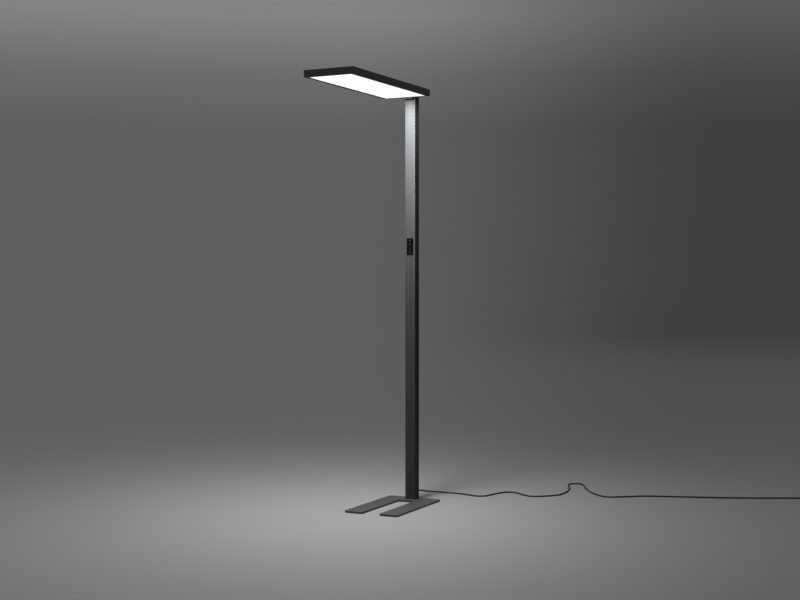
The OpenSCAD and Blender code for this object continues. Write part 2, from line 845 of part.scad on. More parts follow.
module at_head_corners() {
    for (x = [-1, 1], y = [-1, 1])
        translate([x * head_w / 2, head_mid + y * head_l / 2, head_z])
            mirror([x > 0 ? 1 : 0, 0, 0]) mirror([0, y > 0 ? 1 : 0, 0]) children();
}

corner_screw_at = 22;
corner_screw_d = 4;
// Two rods of diameter d, one square through each leg of the angle, from depth a to depth b
module corner_rods(d, a, b) {
    mid = corner_z + corner_h / 2;
    translate([corner_screw_at, a, mid]) rotate([-90, 0, 0]) cylinder(d = d, h = b - a);
    translate([a, corner_screw_at, mid]) rotate([0, 90, 0]) cylinder(d = d, h = b - a);
}

module corner_keys() {
    color("silver") at_head_corners() difference() {
        corner_key_shape();
        corner_rods(corner_screw_d + 2 * thread_gap, 0, rail_wall + corner_t + past);
    }
}

// Set screws that press the angle's legs off the rails and lock the mitre
module corner_screws() {
    color("black") at_head_corners() corner_rods(corner_screw_d, rail_wall, rail_wall + corner_t + 1);
}

// Steel angle inside the rear end: upright against the rail, foot on the component plate
module head_bracket() {
    upright_y = head_rear - rail_wall - bracket_t;
    color("silver") difference() {
        union() {
            block([-bracket_w / 2, upright_y, head_z + parts_z], [bracket_w, bracket_t, bracket_h]);
            block([-bracket_w / 2, upright_y - bracket_l, head_z + parts_z],
                [bracket_w, bracket_l + bracket_t, bracket_t]);
        }
        for (x = [-1, 1]) bar_y(x * head_bolt_x, cable_level, upright_y - past,
            upright_y + bracket_t + past, head_bolt_d + 0.6);
        bar_y(0, cable_level, upright_y - past, upright_y + bracket_t + past, cable_hole);
        translate([0, bracket_mid, head_z + parts_z - past]) at_corners(bracket_screw_x, bracket_screw_y)
            cylinder(d = small_screw_d + 0.4, h = bracket_t + 2 * past);
    }
}

bracket_mid = head_rear - rail_wall - bracket_t - bracket_l / 2;
bracket_screw_x = bracket_w / 2 - 10;
bracket_screw_y = bracket_l / 2 - 15;
module bracket_screws() {
    pan_h = 2;
    color("silver") translate([0, bracket_mid, head_z + plate_z])
        at_corners(bracket_screw_x, bracket_screw_y) {
            cylinder(d = small_screw_d, h = plate_t + bracket_t + pan_h);
            translate([0, 0, plate_t + bracket_t]) cylinder(d = small_screw_head, h = pan_h);
        }
}

// ---------------------------------------------------------------- light engine

// A sheet of the head, held back from the outer faces by the same amount all round
module head_sheet(z, t, inset) {
    translate([0, head_mid, head_z + z]) linear_extrude(t)
        square([head_w - 2 * inset, head_l - 2 * inset], center = true);
}

module component_plate() {
    color("silver") difference() {
        head_sheet(plate_z, plate_t, plate_inset);
        translate([0, bracket_mid, head_z + plate_z - past]) at_corners(bracket_screw_x, bracket_screw_y)
            cylinder(d = small_screw_d + 2 * thread_gap, h = plate_t + 2 * past);
    }
}

module reflector_sheet() {
    color("white") head_sheet(reflector_z, reflector_t, guide_inset);
}

module light_guide() {
    color("lightcyan") head_sheet(guide_z, guide_t, guide_inset);
}

module down_diffuser() {
    color("white") head_sheet(diffuser_z, diffuser_t, rail_wall + fit_gap);
}

// A strip of diodes along each long edge of the light guide
led_w = 3;
strip_t = 1.2;
led_out = guide_inset - rail_wall - strip_t - 0.3;
strip_end = 20;
led_count = floor((head_l - 3 * strip_end) / led_pitch);
module side_led_strips() {
    color("khaki") for (x = [-1, 1]) mirror([x < 0 ? 1 : 0, 0, 0])
        translate([head_w / 2 - rail_wall - strip_t, head_mid, head_z + guide_z + 0.1]) {
            block([0, -head_l / 2 + strip_end, 0], [strip_t, head_l - 2 * strip_end, guide_t - 0.2]);
            for (i = [0 : led_count - 1])
                block([-led_out, (i - (led_count - 1) / 2) * led_pitch - led_w / 2, 0.4],
                    [led_out, led_w, guide_t - 1]);
        }
}

// Two boards of diodes on the component plate, which light the ceiling through the window
up_board_w = 20;
up_board_x = 40;
up_board_t = 1.6;
up_board_end = 10;
up_board_l = window_l - 2 * up_board_end;
up_count = floor(up_board_l / led_pitch);
module up_led_boards() {
    color("khaki") for (x = [-1, 1])
        translate([x * up_board_x, head_mid, head_z + parts_z]) {
            block([-up_board_w / 2, -up_board_l / 2, 0], [up_board_w, up_board_l, up_board_t]);
            for (i = [0 : up_count - 1])
                block([-led_w / 2, (i - (up_count - 1) / 2) * led_pitch - led_w / 2, up_board_t],
                    [led_w, led_w, 0.8]);
        }
}

module head_connector() {
    color("whitesmoke") block([-15, cable_end - 15, head_z + parts_z + bracket_t], [30, 15, 10]);
}

// Clear sheet under the window of the top cover, bonded to it
diffuser_lap = 10;
up_diffuser_t = 2;
module up_diffuser() {
    color("lightcyan") translate([0, head_mid, head_z + cover_z - up_diffuser_t])
        linear_extrude(up_diffuser_t)
            square([window_w + 2 * diffuser_lap, window_l + 2 * diffuser_lap], center = true);
}

cover_hole_places = concat(
    [for (x = [-1, 1], y = cover_screw_xs) [x * (head_w / 2 - seat_screw_in), head_rear - head_l + y]],
    [[0, head_rear - seat_screw_in], [0, head_rear - head_l + seat_screw_in]]
);

module top_cover() {
    color("dimgray") difference() {
        head_sheet(cover_z, cover_t, rail_wall + fit_gap);
        translate([0, head_mid, head_z + cover_z - past]) linear_extrude(cover_t + 2 * past)
            round_rect(window_w, window_l, 4);
        for (p = cover_hole_places) translate([p[0], p[1], lamp_h]) mirror([0, 0, 1])
            countersunk_hole(small_screw_d + 0.4, small_screw_head + 0.2, cover_t);
    }
}

module cover_screws() {
    color("silver") for (p = cover_hole_places) translate([p[0], p[1], lamp_h]) mirror([0, 0, 1])
        countersunk_screw(small_screw_d, small_screw_head, 5);
}

// ---------------------------------------------------------------- mains cord

// A closed tube round a line of points. Each ring stands square to the line there; ways holds
// the direction of the line at each point, which is never upright.
function unit(v) = v / norm(v);
function ring_of(p, way, r, sides) =
    let (across = unit(cross(way, [0, 0, 1])), up = cross(across, way))
    [for (k = [0 : sides - 1]) let (a = 360 * (k + 0.5) / sides) p + r * (cos(a) * across + sin(a) * up)];

module tube(points, ways, r, sides) {
    n = len(points);
    corners = [for (i = [0 : n - 1]) each ring_of(points[i], ways[i], r, sides)];
    walls = [
        for (i = [0 : n - 2], k = [0 : sides - 1])
            let (a = i * sides + k, b = i * sides + (k + 1) % sides)
            each [[a, a + sides, b], [b, a + sides, b + sides]]
    ];
    start_cap = [for (k = [1 : sides - 2]) [0, k, k + 1]];
    last = (n - 1) * sides;
    end_cap = [for (k = [1 : sides - 2]) [last, last + k + 1, last + k]];
    polyhedron(points = corners, faces = concat(walls, start_cap, end_cap), convexity = 10);
}

// Smooth curve through the route: a cubic between each two points, whose direction at a point
// weighs the chords on both sides of it by their lengths
cord_points = [for (p = cord_route) [p[0], p[1], p[2] + cord_level]];
cord_n = len(cord_points);
function chord(i) = norm(cord_points[i + 1] - cord_points[i]);
function slope(i) =
    i == 0 ? cord_start_way
    : i == cord_n - 1 ? cord_end_way
    : let (a = chord(i - 1), b = chord(i))
        (b * (cord_points[i] - cord_points[i - 1]) / a + a * (cord_points[i + 1] - cord_points[i]) / b)
        / (a + b);
slopes = [for (i = [0 : cord_n - 1]) slope(i)];
function on_curve(i, s) =
    let (h = chord(i), p = cord_points[i], q = cord_points[i + 1])
    (2 * s ^ 3 - 3 * s ^ 2 + 1) * p + (s ^ 3 - 2 * s ^ 2 + s) * h * slopes[i]
    + (-2 * s ^ 3 + 3 * s ^ 2) * q + (s ^ 3 - s ^ 2) * h * slopes[i + 1];
function way_on(i, s) =
    let (h = chord(i), p = cord_points[i], q = cord_points[i + 1])
    (6 * s ^ 2 - 6 * s) * (p - q) / h + (3 * s ^ 2 - 4 * s + 1) * slopes[i]
    + (3 * s ^ 2 - 2 * s) * slopes[i + 1];
cord_spots = [
    for (i = [0 : cord_n - 2], j = [0 : cord_steps - 1]) [i, j / cord_steps],
    [cord_n - 2, 1],
];
function on_floor(p) = [p[0], p[1], max(p[2], cord_level)];
cord_line = [for (c = cord_spots) on_floor(on_curve(c[0], c[1]))];
cord_ways = [for (c = cord_spots) unit(way_on(c[0], c[1]))];

module mains_cord() {
    color("black") tube(cord_line, cord_ways, cord_d / 2, cord_sides);
}

// The coil, turn by turn: t counts turns. It winds to the right, in and out again at a steady
// rate, and climbs to the second layer in the half turn where it turns back.
function eased(s) = let (c = max(0, min(1, s))) c * c * (3 - 2 * c);
function coil_r(t) = coil_out_r - coil_pitch * min(t, coil_turns - t);
function coil_z(t) = cord_level + coil_rise * eased((t - coil_turns / 2 + 0.25) / 0.5);
function coil_at(t) =
    let (a = coil_way + 90 - 360 * t)
    [coil_centre[0] + coil_r(t) * cos(a), coil_centre[1] + coil_r(t) * sin(a), coil_z(t)];
function tail_at(s) =
    let (d = s * tail_l)
    [tail_start[0] + d * cos(plug_way), tail_start[1] + d * sin(plug_way),
        cord_level + coil_rise + (plug_z - cord_level - coil_rise) * eased(s)];
coil_n = round(coil_turns * coil_rings);
coil_line = concat(
    [[coil_start[0], coil_start[1], cord_level]],
    [for (i = [0 : coil_n]) coil_at(i * coil_turns / coil_n)],
    [for (i = [1 : 6]) tail_at(i / 6)],
    [[plug_start[0], plug_start[1], plug_z]]
);
coil_last = len(coil_line) - 1;
coil_ways = [
    for (i = [0 : coil_last])
        i <= 1 ? cord_end_way
        : i >= coil_last - 1 ? [cos(plug_way), sin(plug_way), 0]
        : unit(coil_line[i + 1] - coil_line[i - 1])
];

module cord_coil() {
    color("black") tube(coil_line, coil_ways, cord_d / 2, coil_sides);
}

// The least gap of the coil to itself, between points at least a third of a turn apart
coil_gap = min([
    for (i = [0 : coil_last], j = [i + coil_rings / 3 : 1 : coil_last])
        norm(coil_line[i] - coil_line[j])
]) - cord_d;
echo(least_gap_of_the_coil = coil_gap);

// Hook-and-loop tie round all the turns, on the side away from the plug
tie_way = coil_way + 180;
tie_w = 14;
tie_t = 1.2;
module cord_tie() {
    bundle_in = coil_r(coil_turns / 2) - cord_d / 2 - 0.4;
    bundle_out = coil_out_r + cord_d / 2 + 0.4;
    low = 0;
    high = cord_level + coil_rise + cord_d / 2 + 0.4;
    color("black") translate([coil_centre[0], coil_centre[1], 0]) rotate([0, 0, tie_way])
        difference() {
            translate([bundle_in - tie_t, -tie_w / 2, low])
                cube([bundle_out - bundle_in + 2 * tie_t, tie_w, high + tie_t - low]);
            translate([bundle_in, -tie_w / 2 - past, 0.05])
                cube([bundle_out - bundle_in, tie_w + 2 * past, high - 0.05]);
        }
}

// Places its child at the plug, whose length then runs along +Z
module at_plug() {
    translate([plug_start[0], plug_start[1], plug_z]) rotate([0, 0, plug_way]) rotate([0, 90, 0])
        children();
}

// Round plug body with its tapered sleeve, a grip with two flats, and two contact recesses
module plug_body() {
    grip_z = plug_sleeve_l;
    front_z = plug_sleeve_l + plug_l;
    color("black") at_plug() difference() {
        rotate_extrude() polygon([
            [0, 0], [cord_d / 2 + 1, 0], [cord_d / 2 + 3, plug_sleeve_l], [9, grip_z],
            [12, grip_z + 6], [plug_d / 2 - 3, grip_z + 0.5 * plug_l],
            [plug_d / 2, grip_z + 0.62 * plug_l], [plug_d / 2, front_z - 1], [plug_d / 2 - 1, front_z],
            [0, front_z],
        ]);
        // recesses for the earth contacts, on top and below
        for (x = [-1, 1]) translate([x * (plug_d / 2 - 0.5), 0, front_z - 5])
            cube([4, 6, 12], center = true);
        for (y = [-1, 1]) translate([0, y * pin_pitch / 2, front_z - pin_root_l])
            cylinder(d = pin_d - 0.8 + 2 * thread_gap, h = pin_root_l + past);
    }
}

// Contact pins: a thinner root in the plug's body, a full shank outside it and a round tip
module plug_pins() {
    color("silver") at_plug() for (y = [-1, 1])
        translate([0, y * pin_pitch / 2, plug_sleeve_l + plug_l]) {
            translate([0, 0, -pin_root_l]) cylinder(d = pin_d - 0.8, h = pin_root_l);
            cylinder(d = pin_d, h = pin_l - pin_d / 2);
            translate([0, 0, pin_l - pin_d / 2]) intersection() {
                sphere(d = pin_d);
                cylinder(d = pin_d + 1, h = pin_d);
            }
        }
}

foot_plate();
floor_pads();
foot_block();
foot_screws();
side_screws();
post_profile();
strain_relief();
relief_nut();
inner_lead();
terminal_block();
driver_tray();
led_driver();
driver_wires();
head_cable();
unit_cable();
unit_housing();
power_key();
brighter_key();
dimmer_key();
uplight_key();
unit_board();
key_switches();
unit_connector();
unit_back();
neck_casting();
neck_lid();
neck_lid_screws();
neck_post_screws();
head_bolts();
head_side_rails();
head_front_rail();
head_rear_rail();
corner_keys();
corner_screws();
head_bracket();
bracket_screws();
component_plate();
reflector_sheet();
light_guide();
side_led_strips();
down_diffuser();
up_led_boards();
head_connector();
up_diffuser();
top_cover();
cover_screws();
mains_cord();
cord_coil();
cord_tie();
plug_body();
plug_pins();
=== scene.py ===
# %% [markdown]
# # An office floor lamp, dressed in Blender
# The lamp is already built as solids, in metres, with the origin on the floor under the post.
# +Z is up, -Y is the front, where the head and the prongs of the foot point, and the mains
# lead leaves the post towards +Y. This lesson gives the solids their real finishes, rounds the
# edges that catch the light, and makes the pieces that follow a path or a count.

# %% Load the solids
import json
import math

import bmesh
import bpy
from mathutils import Matrix, Vector

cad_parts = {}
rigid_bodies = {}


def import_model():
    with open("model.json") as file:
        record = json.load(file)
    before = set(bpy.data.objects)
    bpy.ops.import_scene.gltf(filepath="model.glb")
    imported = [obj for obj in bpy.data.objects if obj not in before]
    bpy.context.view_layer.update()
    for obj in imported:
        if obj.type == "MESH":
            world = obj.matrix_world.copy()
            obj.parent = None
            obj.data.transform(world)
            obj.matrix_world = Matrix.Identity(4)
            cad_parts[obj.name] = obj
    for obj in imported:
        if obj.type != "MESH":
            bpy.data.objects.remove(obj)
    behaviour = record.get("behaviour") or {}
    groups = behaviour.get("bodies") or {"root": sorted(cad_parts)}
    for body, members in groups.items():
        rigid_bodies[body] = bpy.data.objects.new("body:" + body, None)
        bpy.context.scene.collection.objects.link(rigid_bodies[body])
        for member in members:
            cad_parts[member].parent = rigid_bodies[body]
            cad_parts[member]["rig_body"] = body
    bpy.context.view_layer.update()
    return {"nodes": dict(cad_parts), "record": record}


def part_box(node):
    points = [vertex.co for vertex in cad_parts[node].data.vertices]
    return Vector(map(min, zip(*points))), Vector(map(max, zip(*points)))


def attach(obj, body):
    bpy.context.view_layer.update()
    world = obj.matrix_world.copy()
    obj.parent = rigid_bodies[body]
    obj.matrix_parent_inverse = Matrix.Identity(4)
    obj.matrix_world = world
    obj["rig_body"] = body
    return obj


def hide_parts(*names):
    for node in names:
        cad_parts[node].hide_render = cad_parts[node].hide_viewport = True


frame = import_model()
solids = frame["nodes"]

# %% [markdown]
# ## The camera
# The photograph was taken from the right of the lamp's front, at chest height and from six
# metres, with the camera level. A level camera keeps upright edges upright. The frame looks a
# little down without tilting, which is what a small negative shift does.

# %% Camera
FRAME_WIDTH, FRAME_HEIGHT = 800, 600
camera_turn = math.radians(26.5)
focal_pixels = 1287.3
horizon_row = 278.1
camera_away, camera_aside, camera_height = 6.1613, 0.0582, 1.0632
film_width = 36
farthest_sight = 200

right_way = Vector((math.cos(camera_turn), math.sin(camera_turn), 0))
view_way = Vector((-math.sin(camera_turn), math.cos(camera_turn), 0))
up_way = Vector((0, 0, 1))
eye = bpy.data.cameras.new("studio_camera")
eye.sensor_width = film_width
eye.lens = focal_pixels * film_width / FRAME_WIDTH
eye.shift_y = (horizon_row - FRAME_HEIGHT / 2) / FRAME_WIDTH
eye.clip_end = farthest_sight
camera = bpy.data.objects.new("studio_camera", eye)
camera.location = camera_height * up_way - camera_aside * right_way - camera_away * view_way
camera.rotation_euler = (math.radians(90), 0, camera_turn)
bpy.context.scene.collection.objects.link(camera)
bpy.context.scene.camera = camera
print(f"camera at {tuple(round(x, 3) for x in camera.location)}, lens {eye.lens:.1f} mm")

# %% [markdown]
# ## Small helpers
# Colours are written as the hex codes a designer would use. Those are sRGB, and a shader wants
# linear light, so one function turns them round. Another adds a node to a tree, sets it and
# links it, whatever kind of node it is. A third starts a material.

# %% Colour and node helpers
def linear(code):
    """The linear colour of an sRGB hex code such as 4A4B4D."""
    parts = [int(code[i:i + 2], 16) / 255 for i in (0, 2, 4)]
    return [x / 12.92 if x <= 0.04045 else ((x + 0.055) / 1.055) ** 2.4 for x in parts] + [1.0]


def add(tree, kind, inputs=None, **settings):
    """Adds a node. Inputs are numbers, colours or the sockets that feed them."""
    made = tree.nodes.new(kind)
    for name, value in settings.items():
        setattr(made, name, value)
    for name, value in (inputs or {}).items():
        if isinstance(value, bpy.types.NodeSocket):
            tree.links.new(value, made.inputs[name])
        else:
            made.inputs[name].default_value = value
    return made


def blank(name, colour, roughness, **more):
    """A new material with its Principled shader, and the object's own coordinates to work from."""
    made = bpy.data.materials.new(name)
    made.use_nodes = True
    tree = made.node_tree
    shader = tree.nodes["Principled BSDF"]
    shader.inputs["Base Color"].default_value = linear(colour)
    shader.inputs["Roughness"].default_value = roughness
    for socket, value in more.items():
        shader.inputs[socket.replace("_", " ")].default_value = value
    place = add(tree, "ShaderNodeTexCoord").outputs["Object"]
    return made, tree, shader, place


# %% [markdown]
# Hardly any real surface is the same all over. Two patterns do most of the work here: a slow one
# that moves the colour a little, and a fine one that is felt in the gloss and the bump. A noise
# lies mostly between 0.3 and 0.7, so that range is stretched to the values that are wanted.

# %% Two patterns on a finish
NOISE_LOW, NOISE_HIGH = 0.3, 0.7
PATCHES = (0.35, 0.65)


def patterned(tree, shader, colours, slow, roughness, fine, relief, spread=PATCHES):
    """Slow mixes two colours over spread. Fine sets the gloss and a bump of relief microns."""
    share = add(tree, "ShaderNodeMapRange", {
        "Value": slow, "From Min": spread[0], "From Max": spread[1]})
    tint = add(tree, "ShaderNodeMix", {"Factor": share.outputs["Result"]}, data_type="RGBA")
    for socket, colour in zip("AB", colours):
        tint.inputs[socket].default_value = linear(colour)
    gloss = add(tree, "ShaderNodeMapRange", {
        "Value": fine, "From Min": NOISE_LOW, "From Max": NOISE_HIGH,
        "To Min": roughness[0], "To Max": roughness[1]})
    bump = add(tree, "ShaderNodeBump", {
        "Height": fine, "Strength": 1.0, "Distance": relief / 1e6})
    for socket, fed in (("Base Color", next(s for s in tint.outputs if s.type == "RGBA")),
                        ("Roughness", gloss.outputs["Result"]),
                        ("Normal", bump.outputs["Normal"])):
        tree.links.new(fed, shader.inputs[socket])


# %% [markdown]
# Most finishes on the lamp are one colour with a grain: powder coat has the skin of an orange,
# a moulding has the spark texture of its tool, plating has faint cloudy patches. Each could have
# a tree of its own, but they differ only in sizes and colours. So one function makes them all
# from real sizes in millimetres: slow clouds and a fine grain.

# %% A grained finish
def grained(name, colour, cloud_colour, roughness, grain, relief, cloud=60, **more):
    """Colour drifts to cloud_colour over patches of cloud mm. Grain is in mm, relief in microns."""
    made, tree, shader, place = blank(name, colour, sum(roughness) / 2, **more)
    clouds = add(tree, "ShaderNodeTexNoise", {
        "Vector": place, "Scale": 1000 / cloud, "Detail": 3.0, "Roughness": 0.55})
    skin = add(tree, "ShaderNodeTexNoise", {
        "Vector": place, "Scale": 1000 / grain, "Detail": 2.0, "Roughness": 0.5})
    patterned(tree, shader, (colour, cloud_colour), clouds.outputs["Fac"],
              roughness, skin.outputs["Fac"], relief)
    return made


# %% [markdown]
# ## The mains lead
# A PVC lead keeps its length, so its route comes before its looks. It leaves the sleeve at the
# rear of the post, drops to the floor in one slack bow and wanders off in loose bends. What the
# photograph doesn't show is wound into a coil with a tie, and ends in a plug. Each point below
# is in millimetres: X, Y and the height of the lead's underside over the floor.

# %% The lead's route
lead_width = 0.007
floor_gap = 0.0001
lead_level = lead_width / 2 + floor_gap
route = [
    (0, 57, 34.4), (0, 66, 34.3), (0, 100, 29.4), (3, 145, 20), (17, 203, 9.5), (45, 243, 2.4),
    (85, 259, 0), (140, 257, 0), (205, 240, 0), (248, 232, 0), (270, 246, 0), (285, 290, 0),
    (306, 366, 0), (324, 399, 0), (350, 411, 0), (380, 401, 0), (445, 351, 0), (474, 341, 0),
    (502, 352, 0), (558, 398, 0), (583, 440, 0), (590, 510, 0), (566, 650, 0), (530, 742, 0),
    (524, 772, 0), (532, 797, 0), (556, 809, 0), (581, 800, 0), (597, 774, 0), (654, 660, 0),
    (735, 540, 0), (788, 498, 0), (828, 490, 0), (866, 516, 0), (950, 580, 0), (1100, 640, 0),
    (1300, 708, 0), (1480, 784, 0), (1640, 862, 0), (1730, 905, 0),
]
spots = [Vector(spot) / 1000 + lead_level * up_way for spot in route]

# %% [markdown]
# A smooth line runs through the points. At each one its slope is the mean of the slopes on both
# sides, and the shorter stretch counts more. The first slope points straight out of the sleeve
# and the last one into the coil.

# %% A smooth line through the route's points
def flat_way(degrees):
    """The level direction that lies so many degrees from +X towards +Y."""
    return Vector((math.cos(math.radians(degrees)), math.sin(math.radians(degrees)), 0))


coil_way = 26
steps_a_stretch = 8
gaps = [(b - a).length for a, b in zip(spots, spots[1:])]
slopes = [Vector((0, 1, 0))]
for i in range(1, len(spots) - 1):
    before, after = gaps[i - 1], gaps[i]
    slopes.append((after * (spots[i] - spots[i - 1]) / before
                   + before * (spots[i + 1] - spots[i]) / after) / (before + after))
slopes.append(flat_way(coil_way))


def on_route(i, s):
    """The point a share s of the way along stretch i, on a cubic that keeps off the floor."""
    start, end = 2 * s ** 3 - 3 * s ** 2 + 1, 3 * s ** 2 - 2 * s ** 3
    leaving, coming = (s ** 3 - 2 * s ** 2 + s) * gaps[i], (s ** 3 - s ** 2) * gaps[i]
    spot = (start * spots[i] + leaving * slopes[i]
            + end * spots[i + 1] + coming * slopes[i + 1])
    spot.z = max(spot.z, lead_level)
    return spot


lead_line = [on_route(i, j / steps_a_stretch)
             for i in range(len(gaps)) for j in range(steps_a_stretch)] + [spots[-1]]
print(f"free lead {sum((b - a).length for a, b in zip(lead_line, lead_line[1:])):.3f} m")

# %% [markdown]
# The coil winds inwards and out again at a steady rate, and climbs onto its second layer in the
# half turn where it turns back, so no turn passes through another. Then the lead rises to the
# middle of the plug, which is thicker than the lead and lies on the floor.

# %% The coil and the rise to the plug
coil_turns = 3.25
turn_gap, layer_gap = 0.0008, 0.0007
coil_pitch = lead_width + turn_gap
coil_rise = lead_width + layer_gap
coil_radius = 0.039
coil_out = coil_radius + coil_pitch * coil_turns / 4
coil_middle = spots[-1] + coil_out * flat_way(coil_way - 90) + lead_width * flat_way(coil_way)
climb = 0.5
steps_a_turn = 48
plug_way = coil_way - 360 * coil_turns
plug_width = 0.037
plug_level = plug_width / 2 + floor_gap
tail_length, tail_steps = 0.045, 9


def eased(s):
    """0 up to 1, with a smooth start and end."""
    s = max(0.0, min(1.0, s))
    return s * s * (3 - 2 * s)


def coil_point(turn):
    """Where the lead is after so many turns of the coil."""
    radius = coil_out - coil_pitch * min(turn, coil_turns - turn)
    spot = coil_middle + radius * flat_way(coil_way + 90 - 360 * turn)
    spot.z = lead_level + coil_rise * eased((turn - coil_turns / 2 + climb / 2) / climb)
    return spot


coil_steps = round(coil_turns * steps_a_turn)
coil_line = [coil_point(i * coil_turns / coil_steps) for i in range(coil_steps + 1)]
tail_start = coil_line[-1]
rise = plug_level - tail_start.z
for i in range(1, tail_steps + 1):
    s = i / tail_steps
    coil_line.append(
        tail_start + s * tail_length * flat_way(plug_way) + rise * eased(s) * up_way)
coil_line.append(coil_line[-1] + lead_width * flat_way(plug_way))
lead_line += coil_line

# %% [markdown]
# ## Finishes
# The foot is laser-cut steel under a graphite powder coat: a fine skin that scatters the light.
# The head's rails and its cover have a finer satin coat of about the same grey, and the neck is
# a darker painted casting. The control unit and its keys are the darkest: a black ABS that
# reflects little. Zinc gives a cool, slightly cloudy shine, nickel a warmer and sharper one, and
# mill-finished aluminium a pale and even one. Rubber and soft PVC are dull, and nylon a little
# less so. Each has the grain that its making leaves.

# %% Coats, mouldings and plated parts
finishes = {
    "graphite_steel": grained(
        "powder_coated_steel", "262728", "232425", (0.45, 0.6), grain=0.9, relief=18),
    "graphite_rail": grained(
        "satin_coated_aluminium", "27282A", "242527", (0.38, 0.5), grain=0.7, relief=9),
    "black_casting": grained(
        "painted_die_casting", "202122", "1C1D1E", (0.42, 0.55), grain=1.4, relief=16),
    "bright_aluminium": grained(
        "mill_finish_aluminium", "C4C6C8", "B3B6B9", (0.3, 0.42), grain=0.5, relief=4,
        Metallic=1.0),
    "zinc_steel": grained(
        "zinc_plated_steel", "B9BDC2", "9FA6AD", (0.26, 0.4), grain=0.8, relief=4, cloud=8,
        Metallic=1.0),
    "black_steel": grained(
        "black_oxide_steel", "151517", "1B1B1C", (0.4, 0.55), grain=0.4, relief=4, cloud=5,
        Metallic=0.6),
    "pad_rubber": grained(
        "moulded_rubber", "1B1B1C", "222223", (0.75, 0.9), grain=0.6, relief=25),
    "soft_black": grained(
        "soft_pvc", "151516", "1B1B1C", (0.5, 0.62), grain=0.7, relief=14, cloud=20),
    "white_plastic": grained(
        "white_polycarbonate", "E4E4E0", "DCDCD7", (0.35, 0.5), grain=0.6, relief=8),
    "wire_brown": grained(
        "brown_wire_insulation", "5E3A22", "53321D", (0.4, 0.5), grain=0.5, relief=5, cloud=10),
    "cord_black": grained(
        "pvc_wire_sheath", "121213", "18181A", (0.38, 0.48), grain=0.6, relief=6, cloud=10),
    "moulded_black": grained(
        "moulded_nylon", "1A1A1B", "202021", (0.55, 0.7), grain=0.5, relief=14),
    "board_green": grained(
        "solder_masked_board", "1F5A38", "184A2E", (0.3, 0.4), grain=1.5, relief=10, cloud=6),
    "switch_grey": grained(
        "grey_nylon", "6E7072", "65686A", (0.5, 0.6), grain=0.5, relief=8, cloud=10),
    "led_board": grained(
        "white_board_with_diodes", "EDE9C9", "E2DDB4", (0.4, 0.5), grain=1.0, relief=8,
        cloud=10),
    "frosted_acrylic": grained(
        "lit_frosted_acrylic", "E6EAEC", "DEE3E6", (0.42, 0.5), grain=0.35, relief=6, cloud=150,
        Emission_Color=linear("F2F5FA"), Emission_Strength=0.75),
    "nickel_brass": grained(
        "nickel_plated_brass", "CBC6BA", "BDB7A8", (0.16, 0.26), grain=0.9, relief=2, cloud=6,
        Metallic=1.0),
    "gloss_black": grained(
        "gloss_black_abs", "020203", "040405", (0.1, 0.16), grain=2.5, relief=1, cloud=30,
        Specular_IOR_Level=0.2),
    "key_black": grained(
        "satin_black_abs", "030304", "050506", (0.2, 0.28), grain=0.5, relief=3, cloud=12,
        Specular_IOR_Level=0.2),
}
key_print = grained(
    "grey_pad_print", "2C2D2F", "27282A", (0.5, 0.6), grain=0.3, relief=3, cloud=3)
print(f"{len(finishes)} grained finishes")

# %% [markdown]
# The post is an aluminium extrusion, brushed along its length and anodised in graphite. Brushing
# leaves scratches of a few tenths of a millimetre across and some centimetres long. From six
# metres they would vanish, so there is a second set of broader streaks that shows in the render.
# A noise that is stretched along the post never repeats and needs no unwrapping.

# %% Brushed and anodised aluminium
fine_streak, broad_streak = (0.4, 60), (6.0, 900)


def brushed(name, colour, streak_colour, roughness, relief):
    """Streaks run along Z. The pairs above are their width and length in mm."""
    made, tree, shader, place = blank(name, colour, sum(roughness) / 2, Metallic=1.0)
    streaks = []
    for width, length in (fine_streak, broad_streak):
        stretch = add(tree, "ShaderNodeMapping", {
            "Vector": place, "Scale": (1000 / width, 1000 / width, 1000 / length)})
        streaks.append(add(tree, "ShaderNodeTexNoise", {
            "Vector": stretch.outputs["Vector"], "Scale": 1.0, "Detail": 2.0}).outputs["Fac"])
    patterned(tree, shader, (colour, streak_colour), streaks[1], roughness, streaks[0], relief)
    return made


finishes["graphite_aluminium"] = brushed(
    "brushed_anodised_aluminium", "434445", "3B3C3D", (0.62, 0.72), relief=4)
print(f"post: {finishes['graphite_aluminium'].name}")

# %% [markdown]
# The lead's sheath is extruded PVC: smooth, with faint lines along it where it left the die. The
# lines have to follow the lead round its bends, so they read an attribute that the tube carries:
# where each point lies on the lead's section, and how far along.

# %% Extruded sheath
die_line_width, die_line_length = 2 / 3, 40
sheath, sheath_tree, sheath_shader, _ = blank(
    "extruded_pvc_sheath", "080809", 0.5, Specular_IOR_Level=0.28)
on_lead = add(sheath_tree, "ShaderNodeAttribute", attribute_name="lead_place").outputs["Vector"]
along_lead = add(sheath_tree, "ShaderNodeMapping", {
    "Vector": on_lead,
    "Scale": (1000 / die_line_width, 1000 / die_line_width, 1000 / die_line_length)})
die_lines = add(sheath_tree, "ShaderNodeTexNoise", {
    "Vector": along_lead.outputs["Vector"], "Scale": 1.0, "Detail": 2.0}).outputs["Fac"]
patterned(sheath_tree, sheath_shader, ("060607", "0B0B0C"), die_lines, (0.46, 0.58), die_lines,
          relief=20, spread=(NOISE_LOW, NOISE_HIGH))
print(f"lead: {sheath.name}")
